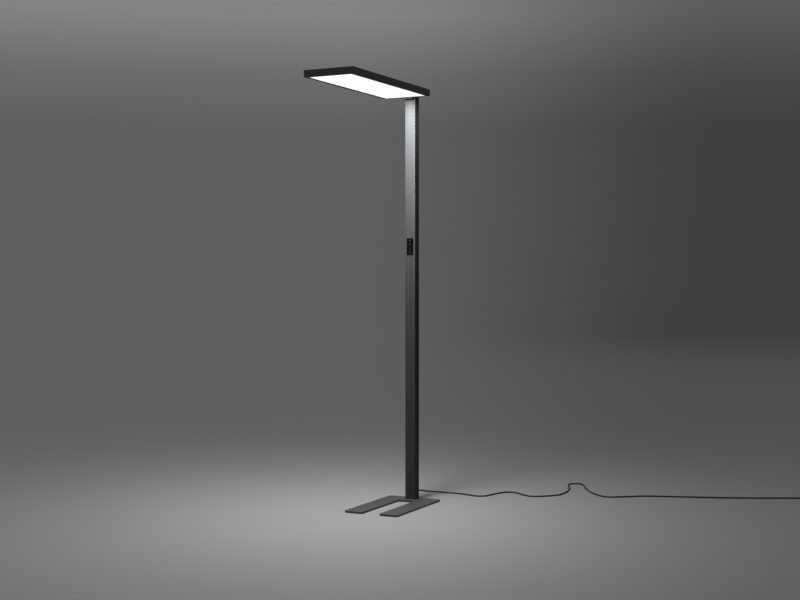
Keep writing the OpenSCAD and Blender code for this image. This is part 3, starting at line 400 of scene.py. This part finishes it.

# %% [markdown]
# Hook-and-loop tape is a woven band with a pile. Cells a little over half a millimetre across
# stand for its loops, and sheen gives the soft edge that a pile has against the light. Each loop's
# colour is lighter in its raised middle and darker at its edges, which is painted shade in the
# hollows between the loops.

# %% Hook-and-loop tape
loop_pitch, pile_height = 0.6, 2e-4
tape, tape_tree, tape_shader, tape_place = blank(
    "hook_and_loop_tape", "1C1C1E", 0.9, Sheen_Weight=0.35, Sheen_Roughness=0.5)
loops = add(tape_tree, "ShaderNodeTexVoronoi", {
    "Vector": tape_place, "Scale": 1000 / loop_pitch})
# Painted shade: each loop is lighter in its raised middle and darker towards the hollows at its
# edge.
tape_painted_hollow_shade = add(tape_tree, "ShaderNodeValToRGB", {"Fac": loops.outputs["Distance"]})
for element, code in zip(tape_painted_hollow_shade.color_ramp.elements, ("2A2A2C", "131314")):
    element.color = linear(code)
tape_bump = add(tape_tree, "ShaderNodeBump", {
    "Height": loops.outputs["Distance"], "Strength": 1.0, "Distance": -pile_height})
tape_tree.links.new(tape_painted_hollow_shade.outputs["Color"], tape_shader.inputs["Base Color"])
tape_tree.links.new(tape_bump.outputs["Normal"], tape_shader.inputs["Normal"])
finishes["tie_black"] = tape
print(f"tie: {tape.name}")

# %% [markdown]
# Two sheets of acrylic do the lighting. The guide is polished and clear, with light fed into its
# edges, and its polish varies a little in patches of 2.5 mm. The opal diffuser under it glows
# evenly, brighter than anything else in the room, so it shows as pure white. The light that it
# throws on the post comes from flat lights, further down.

# %% Acrylic sheets
polish_patch, opal_cloud = 2.5, 1000 / 6
guide, guide_tree, guide_shader, guide_place = blank(
    "polished_acrylic", "F4F8F8", 0.04, IOR=1.49, Transmission_Weight=1.0)
polish = add(guide_tree, "ShaderNodeTexNoise", {
    "Vector": guide_place, "Scale": 1000 / polish_patch})
guide_gloss = add(guide_tree, "ShaderNodeMapRange", {
    "Value": polish.outputs["Fac"], "To Min": 0.02, "To Max": 0.08})
guide_tree.links.new(guide_gloss.outputs["Result"], guide_shader.inputs["Roughness"])
finishes["clear_acrylic"] = guide

opal, opal_tree, opal_shader, opal_place = blank(
    "lit_opal_acrylic", "F2F2F0", 0.4, Emission_Strength=1.15)
clouds = add(opal_tree, "ShaderNodeTexNoise", {
    "Vector": opal_place, "Scale": 1000 / opal_cloud})
opal_tint = add(opal_tree, "ShaderNodeValToRGB", {"Fac": clouds.outputs["Fac"]})
for element, code in zip(opal_tint.color_ramp.elements, ("F4F6FA", "FFFFFF")):
    element.color = linear(code)
opal_tree.links.new(opal_tint.outputs["Color"], opal_shader.inputs["Emission Color"])
finishes["opal_lit"] = opal
print(f"sheets: {guide.name} and {opal.name}")

# %% [markdown]
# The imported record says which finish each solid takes, so the solids are painted from it.

# %% Paint the solids
slots = {row["node"]: row["material_slot"] for row in frame["record"]["subparts"]}
for name, solid in solids.items():
    for material_slot in solid.material_slots:
        material_slot.material = finishes[slots[name]]
print(f"painted {len(slots)} solids")

# %% [markdown]
# ## Edges that catch the light
# No real edge is a perfect line: a cut plate is deburred, a rail leaves its die with a small
# radius. Such an edge draws a thin bright line, and without it a piece looks like paper. A bevel
# in the material would only change the shading, and the mesh itself would have no trace of it.
# So the pieces that show are copied from their solids. The copy's doubles are merged, its flat
# triangles are joined into whole faces, and a narrow bevel runs along every sharp edge. Each
# corner then leans to its largest face, so that a flat face is shaded flat right up to the bevel.

# %% From a mesh to a finished piece
sharp_angle = math.radians(35)
bevel_segments = 2
lean_to_largest = 90


def in_collection(name, mesh):
    """A new object at the origin that holds a mesh."""
    made = bpy.data.objects.new(name, mesh)
    bpy.context.scene.collection.objects.link(made)
    return made


def as_mesh(shape, name):
    """A mesh from a bmesh shape. The shape goes."""
    mesh = bpy.data.meshes.new(name)
    shape.to_mesh(mesh)
    shape.free()
    return mesh


def settled(helper, name):
    """The plain mesh that a helper's modifiers give, in a new object. The helper goes."""
    view = bpy.context.evaluated_depsgraph_get()
    mesh = bpy.data.meshes.new_from_object(helper.evaluated_get(view), depsgraph=view)
    mesh.name = name
    helper.modifiers.clear()
    bpy.data.objects.remove(helper)
    return in_collection(name, mesh)


def softened(mesh, name, width):
    """A piece made from a mesh, with its sharp edges rounded by width millimetres."""
    for face in mesh.polygons:
        face.use_smooth = True
    mesh.set_sharp_from_angle(angle=sharp_angle)
    helper = in_collection(name + "_plain", mesh)
    bevel = helper.modifiers.new("edges", "BEVEL")
    bevel.width = width / 1000
    bevel.segments = bevel_segments
    bevel.limit_method = "ANGLE"
    bevel.angle_limit = sharp_angle
    weighing = helper.modifiers.new("normals", "WEIGHTED_NORMAL")
    weighing.mode = "FACE_AREA"
    weighing.weight = lean_to_largest
    weighing.keep_sharp = True
    piece = settled(helper, name)
    piece.data.materials.clear()
    return piece


# %% [markdown]
# A solid arrives as loose triangles. Points closer than two thousandths of a millimetre are one
# point, an edge that no face is left on goes, and faces that lie within a degree of each other
# are one face. The widths are those of a deburred or moulded edge.

# %% Rounded copies of the solids that show
same_point = 2e-6
flat_within = math.radians(0.8)


def rounded(node, name, width):
    """A copy of a solid with its sharp edges rounded by width millimetres. It stands for it."""
    shape = bmesh.new()
    shape.from_mesh(solids[node].data)
    bmesh.ops.remove_doubles(shape, verts=shape.verts, dist=same_point)
    loose = [edge for edge in shape.edges if not edge.link_faces]
    bmesh.ops.delete(shape, geom=loose, context="EDGES")
    bmesh.ops.recalc_face_normals(shape, faces=shape.faces)
    bmesh.ops.dissolve_limit(
        shape, angle_limit=flat_within, verts=shape.verts, edges=shape.edges)
    piece = softened(as_mesh(shape, name + "_plain"), name, width)
    piece.data.materials.append(finishes[slots[node]])
    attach(piece, solids[node]["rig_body"])
    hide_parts(node)
    return piece


for node, width in {
    "foot_plate": 0.6, "post_profile": 0.4, "plug_body": 0.4, "plug_pins": 0.1,
    "head_side_rails": 0.35, "head_front_rail": 0.35, "head_rear_rail": 0.35,
    "top_cover": 0.25, "neck_casting": 0.6, "neck_lid": 0.4, "unit_housing": 0.35,
    "power_key": 0.4, "brighter_key": 0.4, "dimmer_key": 0.4, "uplight_key": 0.4,
}.items():
    made = rounded(node, node + "_eased", width)
    print(f"{made.name}: {len(made.data.polygons)} faces")

# %% [markdown]
# ## Geometry Nodes: the lead and what is on it
# A tree of nodes keeps a rule in view: its inputs are the sizes that a maker would name. Three
# helpers serve every tree here. One starts it with its inputs, one ends it, and one runs it on
# lines of points and keeps the result as a plain mesh.

# %% Trees of nodes
def new_tree(name, **sizes):
    """An empty tree with named inputs. Whole numbers are counts, others are lengths in metres."""
    tree = bpy.data.node_groups.new(name, "GeometryNodeTree")
    for way in ("INPUT", "OUTPUT"):
        tree.interface.new_socket("Geometry", in_out=way, socket_type="NodeSocketGeometry")
    for label, value in sizes.items():
        kind = "NodeSocketInt" if isinstance(value, int) else "NodeSocketFloat"
        tree.interface.new_socket(label, in_out="INPUT", socket_type=kind).default_value = value
    return tree, add(tree, "NodeGroupInput").outputs


def end_tree(tree, geometry, material):
    """Ends a tree: instances made real, the finish set, and the result sent out."""
    real = add(tree, "GeometryNodeRealizeInstances", {"Geometry": geometry})
    painted = add(tree, "GeometryNodeSetMaterial", {
        "Geometry": real.outputs["Geometry"], "Material": material})
    add(tree, "NodeGroupOutput", {"Geometry": painted.outputs["Geometry"]})


def grown(tree, name, lines, **sizes):
    """Runs a tree on lines of points and keeps what it makes as a plain mesh."""
    mesh = bpy.data.meshes.new(name + "_lines")
    points, links = [], []
    for line in lines:
        links += [(len(points) + i, len(points) + i + 1) for i in range(len(line) - 1)]
        points += [tuple(point) for point in line]
    mesh.from_pydata(points, links, [])
    helper = in_collection(name + "_lines", mesh)
    modifier = helper.modifiers.new("tree", "NODES")
    modifier.node_group = tree
    for socket in tree.interface.items_tree:
        if socket.in_out == "INPUT" and socket.name in sizes:
            modifier[socket.identifier] = sizes[socket.name]
    return settled(helper, name)


# %% [markdown]
# The lead is one circle swept along its route, which is what Curve to Mesh does. A curve with a
# round bevel gives the same tube, but a tree can store more on it. Before the sweep, the route
# stores how far along each point is, and the circle where each point lies on the section. The
# tube inherits both, and they are joined for the sheath's die lines.

# %% A circle swept along the lead's route
lead_sides = 20
sweep, asked = new_tree("swept_sheath", Width=lead_width, Sides=lead_sides)
radius = add(sweep, "ShaderNodeMath", {0: asked["Width"], 1: 0.5}, operation="MULTIPLY")
curve = add(sweep, "GeometryNodeMeshToCurve", {"Mesh": asked["Geometry"]})
how_far = add(sweep, "GeometryNodeSplineParameter").outputs["Length"]
marked = add(sweep, "GeometryNodeStoreNamedAttribute", {
    "Geometry": curve.outputs["Curve"], "Name": "how_far", "Value": how_far})
circle = add(sweep, "GeometryNodeCurvePrimitiveCircle", {
    "Resolution": asked["Sides"], "Radius": radius.outputs[0]})
section_spot = add(sweep, "GeometryNodeStoreNamedAttribute", {
    "Geometry": circle.outputs["Curve"], "Name": "section_spot",
    "Value": add(sweep, "GeometryNodeInputPosition").outputs["Position"]},
    data_type="FLOAT_VECTOR")
tube = add(sweep, "GeometryNodeCurveToMesh", {
    "Curve": marked.outputs["Geometry"], "Profile Curve": section_spot.outputs["Geometry"],
    "Fill Caps": True})
parts = add(sweep, "ShaderNodeSeparateXYZ", {"Vector": add(
    sweep, "GeometryNodeInputNamedAttribute", {"Name": "section_spot"},
    data_type="FLOAT_VECTOR").outputs["Attribute"]})
far = add(sweep, "GeometryNodeInputNamedAttribute", {"Name": "how_far"}, data_type="FLOAT")
joined = add(sweep, "ShaderNodeCombineXYZ", {
    "X": parts.outputs["X"], "Y": parts.outputs["Y"], "Z": far.outputs["Attribute"]})
placed = add(sweep, "GeometryNodeStoreNamedAttribute", {
    "Geometry": tube.outputs["Mesh"], "Name": "lead_place", "Value": joined.outputs["Vector"]},
    data_type="FLOAT_VECTOR")
smooth = add(sweep, "GeometryNodeSetShadeSmooth", {"Geometry": placed.outputs["Geometry"]})
end_tree(sweep, smooth.outputs["Geometry"], sheath)

mains_lead = grown(sweep, "mains_lead", [lead_line], Width=lead_width, Sides=lead_sides)
print(f"mains lead: {len(mains_lead.data.polygons)} faces")

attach(mains_lead, "lamp")
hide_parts("mains_cord", "cord_coil")

# %% [markdown]
# A strap of hook-and-loop tape holds the turns together. It comes up on the outside of the coil
# and its free end is laid over the top, where it ends in a step. It is pulled tight, so a cloth
# simulation would be wasted on it. Its section is drawn instead: a loop of pairs of points, one
# on the inside of the strap and one on its outside.

# %% The section of the tie
strap, flap, flap_step = 0.0007, 0.0005, 0.0004
slack, corner, corner_steps = 0.0004, 0.002, 8
inner_foot = 0.00005
band_in = coil_out - coil_pitch * coil_turns / 2 - lead_width / 2 - slack
band_out = coil_out + lead_width / 2 + slack
band_top = lead_level + coil_rise + lead_width / 2 + slack
flap_end = band_in + 0.3 * (band_out - band_in)


def bend(middle, first, last, wall):
    """Pairs of points round a corner of the strap, from first to last degrees."""
    turns = [math.radians(first + (last - first) * i / corner_steps)
             for i in range(corner_steps + 1)]
    return [[(middle + r * math.cos(turn), band_top - corner + r * math.sin(turn))
             for r in (corner, corner + wall)] for turn in turns]


tie_section = [
    ((band_in, inner_foot), (band_in - strap, 0)),
    *bend(band_in + corner, 180, 90, strap),
    ((flap_end, band_top), (flap_end, band_top + strap)),
    ((flap_end + flap_step, band_top), (flap_end + flap_step, band_top + strap + flap)),
    *bend(band_out - corner, 90, 0, strap + flap),
    ((band_out, inner_foot), (band_out + strap + flap, 0)),
]
print(f"tie: {len(tie_section)} pairs of points")

# %% [markdown]
# The section is drawn out across the strap's width, 14 mm, to a closed hoop. Its long edges are
# rounded a little, as a woven edge is.

# %% The tie round the coil
strap_across = 0.014
tie_edge = 0.15
outwards, aside = flat_way(coil_way + 180), flat_way(coil_way + 270)
coil_foot = Vector((coil_middle.x, coil_middle.y, 0))
shape = bmesh.new()
hoop = [[[shape.verts.new(coil_foot + u * outwards + v * aside + z * up_way)
          for v in (-strap_across / 2, strap_across / 2)] for u, z in pair]
        for pair in tie_section]
for i, (inner, outer) in enumerate(hoop):
    next_inner, next_outer = hoop[(i + 1) % len(hoop)]
    shape.faces.new((inner[0], inner[1], next_inner[1], next_inner[0]))
    shape.faces.new((outer[0], next_outer[0], next_outer[1], outer[1]))
    for side in (0, 1):
        shape.faces.new((inner[side], next_inner[side], next_outer[side], outer[side]))
bmesh.ops.recalc_face_normals(shape, faces=shape.faces)
tie_strap = softened(as_mesh(shape, "tie_plain"), "tie_strap", tie_edge)
tie_strap.data.materials.append(tape)
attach(tie_strap, "lamp")
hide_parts("cord_tie")
print(f"{tie_strap.name}: {len(tie_strap.data.polygons)} faces")

# %% [markdown]
# The sleeve behind the post and the one on the plug are soft mouldings. Both carry rings that let
# them bend without a kink, and the rings get smaller where the sleeve does. Two arrays would each
# need a helper object to shrink their copies, but one tree serves both: it sets rings along a
# line, each square to it, and shrinks them from the first to the last.

# %% Rings along a line
ring_sides, wire_sides = 36, 8
ring_row, asked = new_tree("rings_along_a_line", Count=8, First=0.0062, Last=0.0048, Wire=0.0015)
places = add(ring_row, "GeometryNodeCurveToPoints", {
    "Curve": add(ring_row, "GeometryNodeMeshToCurve", {
        "Mesh": asked["Geometry"]}).outputs["Curve"],
    "Count": asked["Count"]}, mode="COUNT")
wire_radius = add(ring_row, "ShaderNodeMath", {0: asked["Wire"], 1: 0.5}, operation="MULTIPLY")
ring = add(ring_row, "GeometryNodeCurveToMesh", {
    "Curve": add(ring_row, "GeometryNodeCurvePrimitiveCircle", {
        "Resolution": ring_sides, "Radius": asked["First"]}).outputs["Curve"],
    "Profile Curve": add(ring_row, "GeometryNodeCurvePrimitiveCircle", {
        "Resolution": wire_sides, "Radius": wire_radius.outputs[0]}).outputs["Curve"]})
last_place = add(ring_row, "ShaderNodeMath", {0: asked["Count"], 1: 1.0}, operation="SUBTRACT")
share = add(ring_row, "ShaderNodeMath", {
    0: add(ring_row, "GeometryNodeInputIndex").outputs["Index"], 1: last_place.outputs[0]},
    operation="DIVIDE")
smallest = add(ring_row, "ShaderNodeMath", {
    0: asked["Last"], 1: asked["First"]}, operation="DIVIDE")
shrunk = add(ring_row, "ShaderNodeMapRange", {
    "Value": share.outputs[0], "To Min": 1.0, "To Max": smallest.outputs[0]})
rings = add(ring_row, "GeometryNodeInstanceOnPoints", {
    "Points": places.outputs["Points"], "Instance": ring.outputs["Mesh"],
    "Rotation": places.outputs["Rotation"], "Scale": shrunk.outputs["Result"]})
end_tree(ring_row, rings.outputs["Instances"], finishes[slots["strain_relief"]])
print(f"{ring_row.name}: {len(ring_row.nodes)} nodes")

# %% [markdown]
# The first set runs back from the rear of the post. The second one starts at the thick end of the
# plug's sleeve and runs back to where the lead comes out.

# %% Rings on both sleeves
relief_from, relief_to = 0.006, 0.032
sleeve_from, sleeve_to = 0.024, 0.003
post_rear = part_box("post_profile")[1].y
exit_height = lead_line[0].z
plug_foot = lead_line[-1]
plug_ahead = flat_way(plug_way)
relief_rings = grown(
    ring_row, "relief_rings",
    [[(0, post_rear + y, exit_height) for y in (relief_from, relief_to)]],
    Count=8, First=0.0059, Last=0.0044, Wire=0.0016)
sleeve_rings = grown(
    ring_row, "plug_sleeve_rings",
    [[plug_foot + ahead * plug_ahead for ahead in (sleeve_from, sleeve_to)]],
    Count=7, First=0.0061, Last=0.0046, Wire=0.0015)
print(f"rings: {len(relief_rings.data.polygons)} and {len(sleeve_rings.data.polygons)} faces")

# %% [markdown]
# A hand has to grip the plug's cone to pull it, so the cone has ribs. Each rib follows a straight
# line up the cone, is swept with a round section, and swells from a thin end to its full width in
# the middle and back, as a rib does that a milling cutter has sunk into the mould. The ribs only
# lie in the cone's surface, because joining them to it would leave it with poor faces.

# %% A tree that swells ribs on lines
rib_width, rib_cuts, rib_sides = 0.0016, 7, 8
least_swell = 0.15
rib_set, asked = new_tree("ribs_on_lines", Width=rib_width, Cuts=rib_cuts)
rib_lines = add(rib_set, "GeometryNodeResampleCurve", {
    "Curve": add(rib_set, "GeometryNodeMeshToCurve", {
        "Mesh": asked["Geometry"]}).outputs["Curve"],
    "Count": asked["Cuts"]})
half_turn = add(rib_set, "ShaderNodeMath", {
    0: add(rib_set, "GeometryNodeSplineParameter").outputs["Factor"], 1: math.pi},
    operation="MULTIPLY")
bulge = add(rib_set, "ShaderNodeMath", {0: half_turn.outputs[0]}, operation="SINE")
swell = add(rib_set, "ShaderNodeMath", {
    0: bulge.outputs[0], 1: least_swell}, operation="MAXIMUM")
half_width = add(rib_set, "ShaderNodeMath", {0: asked["Width"], 1: 0.5}, operation="MULTIPLY")
swelling = add(rib_set, "GeometryNodeSetCurveRadius", {
    "Curve": rib_lines.outputs["Curve"], "Radius": swell.outputs[0]})
rib_mesh = add(rib_set, "GeometryNodeCurveToMesh", {
    "Curve": swelling.outputs["Curve"],
    "Profile Curve": add(rib_set, "GeometryNodeCurvePrimitiveCircle", {
        "Resolution": rib_sides, "Radius": half_width.outputs[0]}).outputs["Curve"],
    "Fill Caps": True})
end_tree(rib_set, rib_mesh.outputs["Mesh"], finishes[slots["plug_body"]])
print(f"{rib_set.name}: {len(rib_set.nodes)} nodes")

# %% [markdown]
# Each line runs up the cone, from its thin end to its thick one. Both ends are given as how far
# they lie ahead of the lead's end, and how far out from the plug's middle.

# %% Ribs on the plug's grip
rib_count = 28
rib_ends = ((0.0345, 0.0122), (0.0455, 0.0154))
plug_aside = Vector((-plug_ahead.y, plug_ahead.x, 0))
rib_places = []
for i in range(rib_count):
    turn = math.tau * (i + 0.5) / rib_count
    outwards = math.cos(turn) * plug_aside + math.sin(turn) * up_way
    rib_places.append([plug_foot + ahead * plug_ahead + out * outwards
                       for ahead, out in rib_ends])
grip_ribs = grown(rib_set, "plug_grip_ribs", rib_places, Width=rib_width, Cuts=rib_cuts)
print(f"{rib_count} ribs, {len(grip_ribs.data.polygons)} faces")

for piece in (relief_rings, sleeve_rings, grip_ribs):
    for face in piece.data.polygons:
        face.use_smooth = True
    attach(piece, "lamp")

# %% [markdown]

# %% [markdown]
# ## Signs on the keys
# The photograph shows four faint grey signs, too small to read. Each key gets a plain one in pad
# print: a ring with a bar for power, an arrow up and an arrow down for the light, and an arrow
# over a line for the light on the ceiling. A mask in the key's material could paint it, but a
# thin flat ribbon laid on the key keeps a crisp edge and is part of the geometry itself.

# %% Ribbons along lines
least_cosine = 0.4


def ribbon(shape, points, width, depth):
    """Adds a flat ribbon of that width along points of X and Z, between the two Y of depth."""
    points = [Vector(p) for p in points]
    ways = [(b - a).normalized() for a, b in zip(points, points[1:])]
    sides = []
    for i, point in enumerate(points):
        before, after = ways[max(i - 1, 0)], ways[min(i, len(ways) - 1)]
        across = Vector((-before.y - after.y, before.x + after.x)).normalized()
        reach = width / 2 / max(least_cosine, across.dot(Vector((-before.y, before.x))))
        sides.append((point + across * reach, point - across * reach))
    rings = [[shape.verts.new((p.x, y, p.y)) for p in (a, b) for y in depth] for a, b in sides]
    for one, two in zip(rings, rings[1:]):
        for i, j in ((0, 1), (1, 3), (3, 2), (2, 0)):
            shape.faces.new((one[i], one[j], two[j], two[i]))
    for ring in (rings[0], rings[-1]):
        shape.faces.new([ring[i] for i in (0, 1, 3, 2)])


def arc(radius, start, end, count=28):
    """Points along an arc, in degrees from +X."""
    turns = [math.radians(start + (end - start) * i / count) for i in range(count + 1)]
    return [(radius * math.cos(a), radius * math.sin(a)) for a in turns]


# %% [markdown]
# The lines of a sign are in millimetres, from the middle of its key. The print stands 0.05 mm
# proud of the key and reaches 0.02 mm into it, so that no gap shows between them.

# %% Key signs
signs = {
    "power_key": [arc(2.5, 125, 415), [(0, 0.4), (0, 3.3)]],
    "brighter_key": [[(-2.5, -1.2), (0, 1.3), (2.5, -1.2)]],
    "dimmer_key": [[(-2.5, 1.2), (0, -1.3), (2.5, 1.2)]],
    "uplight_key": [[(-2.6, -2.0), (2.6, -2.0)], [(-2.2, 0.0), (0, 2.2), (2.2, 0.0)]],
}
line_width, print_depth = 0.75, (-0.05, 0.02)
for node, lines in signs.items():
    low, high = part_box(node)
    shape = bmesh.new()
    for line in lines:
        ribbon(shape, line, line_width, print_depth)
    bmesh.ops.recalc_face_normals(shape, faces=shape.faces)
    middle = Vector((0, low.y, (low.z + high.z) / 2))
    bmesh.ops.transform(
        shape, matrix=Matrix.Translation(middle) @ Matrix.Scale(0.001, 4), verts=shape.verts)
    mesh = as_mesh(shape, node.replace("key", "sign"))
    mesh.materials.append(key_print)
    sign = in_collection(mesh.name, mesh)
    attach(sign, solids[node]["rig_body"])
print(f"{len(signs)} signs")

# %% [markdown]
# ## The studio
# The photograph was taken in a dim studio, on a pale sweep of paper that fades into the dark
# behind. Everything darkens to the right. On the paper that darkening is painted shade in its
# colour. The paper and the backdrop have to darken together, or a horizon would show, so one
# function gives both the same rule from the way to a point.

# %% Darker to the right
shade_from, shade_to = -0.05, 0.25
left_strength, right_strength = 1.08, 0.5


def to_the_right(tree, way):
    """How far right a way points, from 0 to 1, and how strong the backdrop is there."""
    across = add(tree, "ShaderNodeVectorMath", {
        0: way, 1: tuple(right_way)}, operation="DOT_PRODUCT")
    share = add(tree, "ShaderNodeMapRange", {
        "Value": across.outputs["Value"], "From Min": shade_from, "From Max": shade_to},
        interpolation_type="SMOOTHSTEP").outputs["Result"]
    strength = add(tree, "ShaderNodeMath", {
        0: share, 1: right_strength - left_strength, 2: left_strength}, operation="MULTIPLY_ADD")
    return share, strength.outputs[0]


# %% [markdown]
# Most of the light near the lamp is its own: it lies as a pool on the floor and runs down the
# front of the post. The floor is one plain sheet, with painted shade in its colour that makes it
# a little darker on the right. From five metres out it glows with the grey of the backdrop, a
# painted glow that is darker on the right too, and fades into it. The ways for its painted shade
# start from a fixed point high over the floor in front of the lamp. So the shade fits the
# backdrop far off, and stays soft close by, from every side.

# %% Floor
horizon_grey = "5A5A5C"
# The second grey is painted shade: it makes the floor's colour darker on the right.
paper_left, paper_painted_shade_grey = "606062", "4F4F51"
floor_reach = 100
fade_from, fade_to = 5.0, 20.0
shade_point = 5 * up_way - camera_aside * right_way - 3.75 * view_way

floor_mesh = bpy.data.meshes.new("studio_floor")
floor_mesh.from_pydata(
    [(-floor_reach, -floor_reach, 0), (floor_reach, -floor_reach, 0),
     (floor_reach, floor_reach, 0), (-floor_reach, floor_reach, 0)], [], [(0, 1, 2, 3)])
studio_floor = in_collection("studio_floor", floor_mesh)
paper, paper_tree, paper_shader, paper_place = blank("studio_paper", paper_left, 0.95)
from_point = add(paper_tree, "ShaderNodeVectorMath", {
    0: paper_place, 1: tuple(shade_point)}, operation="SUBTRACT")
paper_way = add(paper_tree, "ShaderNodeVectorMath", {
    0: from_point.outputs["Vector"]}, operation="NORMALIZE")
rightness, strength = to_the_right(paper_tree, paper_way.outputs["Vector"])
# Painted shade: the paper's colour darkens from its own grey to a darker one towards the right.
paper_painted_shade_ramp = add(paper_tree, "ShaderNodeValToRGB", {"Fac": rightness})
for element, code in zip(paper_painted_shade_ramp.color_ramp.elements, (paper_left, paper_painted_shade_grey)):
    element.color = linear(code)
paper_tree.links.new(paper_painted_shade_ramp.outputs["Color"], paper_shader.inputs["Base Color"])
# Painted glow: beyond five metres the floor glows with the backdrop's grey instead of being lit,
# with the same painted shade to the right.
dark = add(paper_tree, "ShaderNodeEmission", {
    "Color": linear(horizon_grey), "Strength": strength})
away = add(paper_tree, "ShaderNodeVectorMath", {0: paper_place}, operation="LENGTH")
meeting = add(paper_tree, "ShaderNodeMapRange", {
    "Value": away.outputs["Value"], "From Min": fade_from, "From Max": fade_to},
    interpolation_type="SMOOTHSTEP")
sweep_of_paper = add(paper_tree, "ShaderNodeMixShader", {
    0: meeting.outputs["Result"], 1: paper_shader.outputs["BSDF"],
    2: dark.outputs["Emission"]})
paper_tree.links.new(sweep_of_paper.outputs["Shader"],
                     paper_tree.nodes["Material Output"].inputs["Surface"])
floor_mesh.materials.append(paper)
print(f"floor: {2 * floor_reach} m wide, fading from {fade_from:.0f} to {fade_to:.0f} m")

# %% [markdown]
# The world does two jobs. To the camera and in reflections it is the backdrop: grey, lighter high
# up, where the lamp lights it, and darker to the right. To everything else it is a soft light,
# weak from the left and stronger from the right, which lifts the head's right side out of the
# dark. The metal of the post mirrors the backdrop instead, so its side stays dark.

# %% World
backdrop_greys = ((0.115, "5B5B5C"), (0.155, "686769"))
top_place, top_grey = 0.2, "807F80"
light_way = (0.86, 0.5, 0.0)
weakest, strongest = 0.3, 1.0

world = bpy.data.worlds.new("studio")
bpy.context.scene.world = world
world.use_nodes = True
sky = world.node_tree
sky.nodes.clear()
seen = add(sky, "ShaderNodeLightPath").outputs
mirrored = add(sky, "ShaderNodeMath", {
    0: seen["Is Camera Ray"], 1: seen["Is Glossy Ray"]}, operation="MAXIMUM")
looked_at = add(sky, "ShaderNodeMath", {
    0: mirrored.outputs[0], 1: seen["Is Transmission Ray"]}, operation="MAXIMUM")
way = add(sky, "ShaderNodeTexCoord").outputs["Generated"]
height = add(sky, "ShaderNodeSeparateXYZ", {"Vector": way}).outputs["Z"]
backdrop = add(sky, "ShaderNodeValToRGB", {"Fac": height})
backdrop.color_ramp.elements[0].color = linear(horizon_grey)
backdrop.color_ramp.elements[1].position = top_place
backdrop.color_ramp.elements[1].color = linear(top_grey)
for place, grey in backdrop_greys:
    backdrop.color_ramp.elements.new(place).color = linear(grey)
_, strength = to_the_right(sky, way)
view = add(sky, "ShaderNodeBackground", {
    "Color": backdrop.outputs["Color"], "Strength": strength})
towards = add(sky, "ShaderNodeVectorMath", {0: way, 1: light_way}, operation="DOT_PRODUCT")
softness = add(sky, "ShaderNodeMapRange", {
    "Value": towards.outputs["Value"], "From Min": -1.0, "To Min": weakest,
    "To Max": strongest})
light = add(sky, "ShaderNodeBackground", {
    "Color": linear("FFFFFF"), "Strength": softness.outputs["Result"]})
either = add(sky, "ShaderNodeMixShader", {
    0: looked_at.outputs[0], 1: light.outputs[0], 2: view.outputs[0]})
add(sky, "ShaderNodeOutputWorld", {"Surface": either.outputs[0]})
print(f"world: {len(sky.nodes)} nodes")

# %% [markdown]
# A broad sun stands for a soft box over the front left. The lamp's own light comes from two flat
# lights just under the diffuser, as large as the opening in the rim: the diffuser's own glow is
# kept near plain white, because a surface far brighter than white frays its edges. Such a
# diffuser throws more of its light downwards than to the sides, so one light keeps to a wide
# cone and the other shines to all sides.

# %% Lights
soft_box = bpy.data.lights.new("soft_box", "SUN")
soft_box.energy = 0.7
soft_box.angle = math.radians(40)
soft_box_object = bpy.data.objects.new("soft_box", soft_box)
soft_box_object.rotation_euler = (math.radians(28), math.radians(-16), 0)
bpy.context.scene.collection.objects.link(soft_box_object)

rim_width = 0.0175
under_diffuser = 0.0006
rail_low, rail_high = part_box("head_side_rails")
diffuser_low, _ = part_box("down_diffuser")
for name, spread, radiance in (("down_light", 140, 62), ("down_glow", 180, 58)):
    shine = bpy.data.lights.new(name, "AREA")
    shine.shape = "RECTANGLE"
    shine.size = rail_high.x - rail_low.x - 2 * rim_width
    shine.size_y = rail_high.y - rail_low.y - 2 * rim_width
    shine.spread = math.radians(spread)
    shine.energy = radiance * math.pi * shine.size * shine.size_y
    shine_object = bpy.data.objects.new(name, shine)
    shine_object.location = (
        0, (rail_low.y + rail_high.y) / 2, diffuser_low.z - under_diffuser)
    shine_object.visible_camera = False
    bpy.context.scene.collection.objects.link(shine_object)
    print(f"{name}: {shine.size:.3f} x {shine.size_y:.3f} m, {shine.energy:.1f} W")

# %% [markdown]
# ## The last lines
# Standard colour management shows each colour about as it is written.

# %% Colour management
bpy.context.scene.view_settings.view_transform = "Standard"
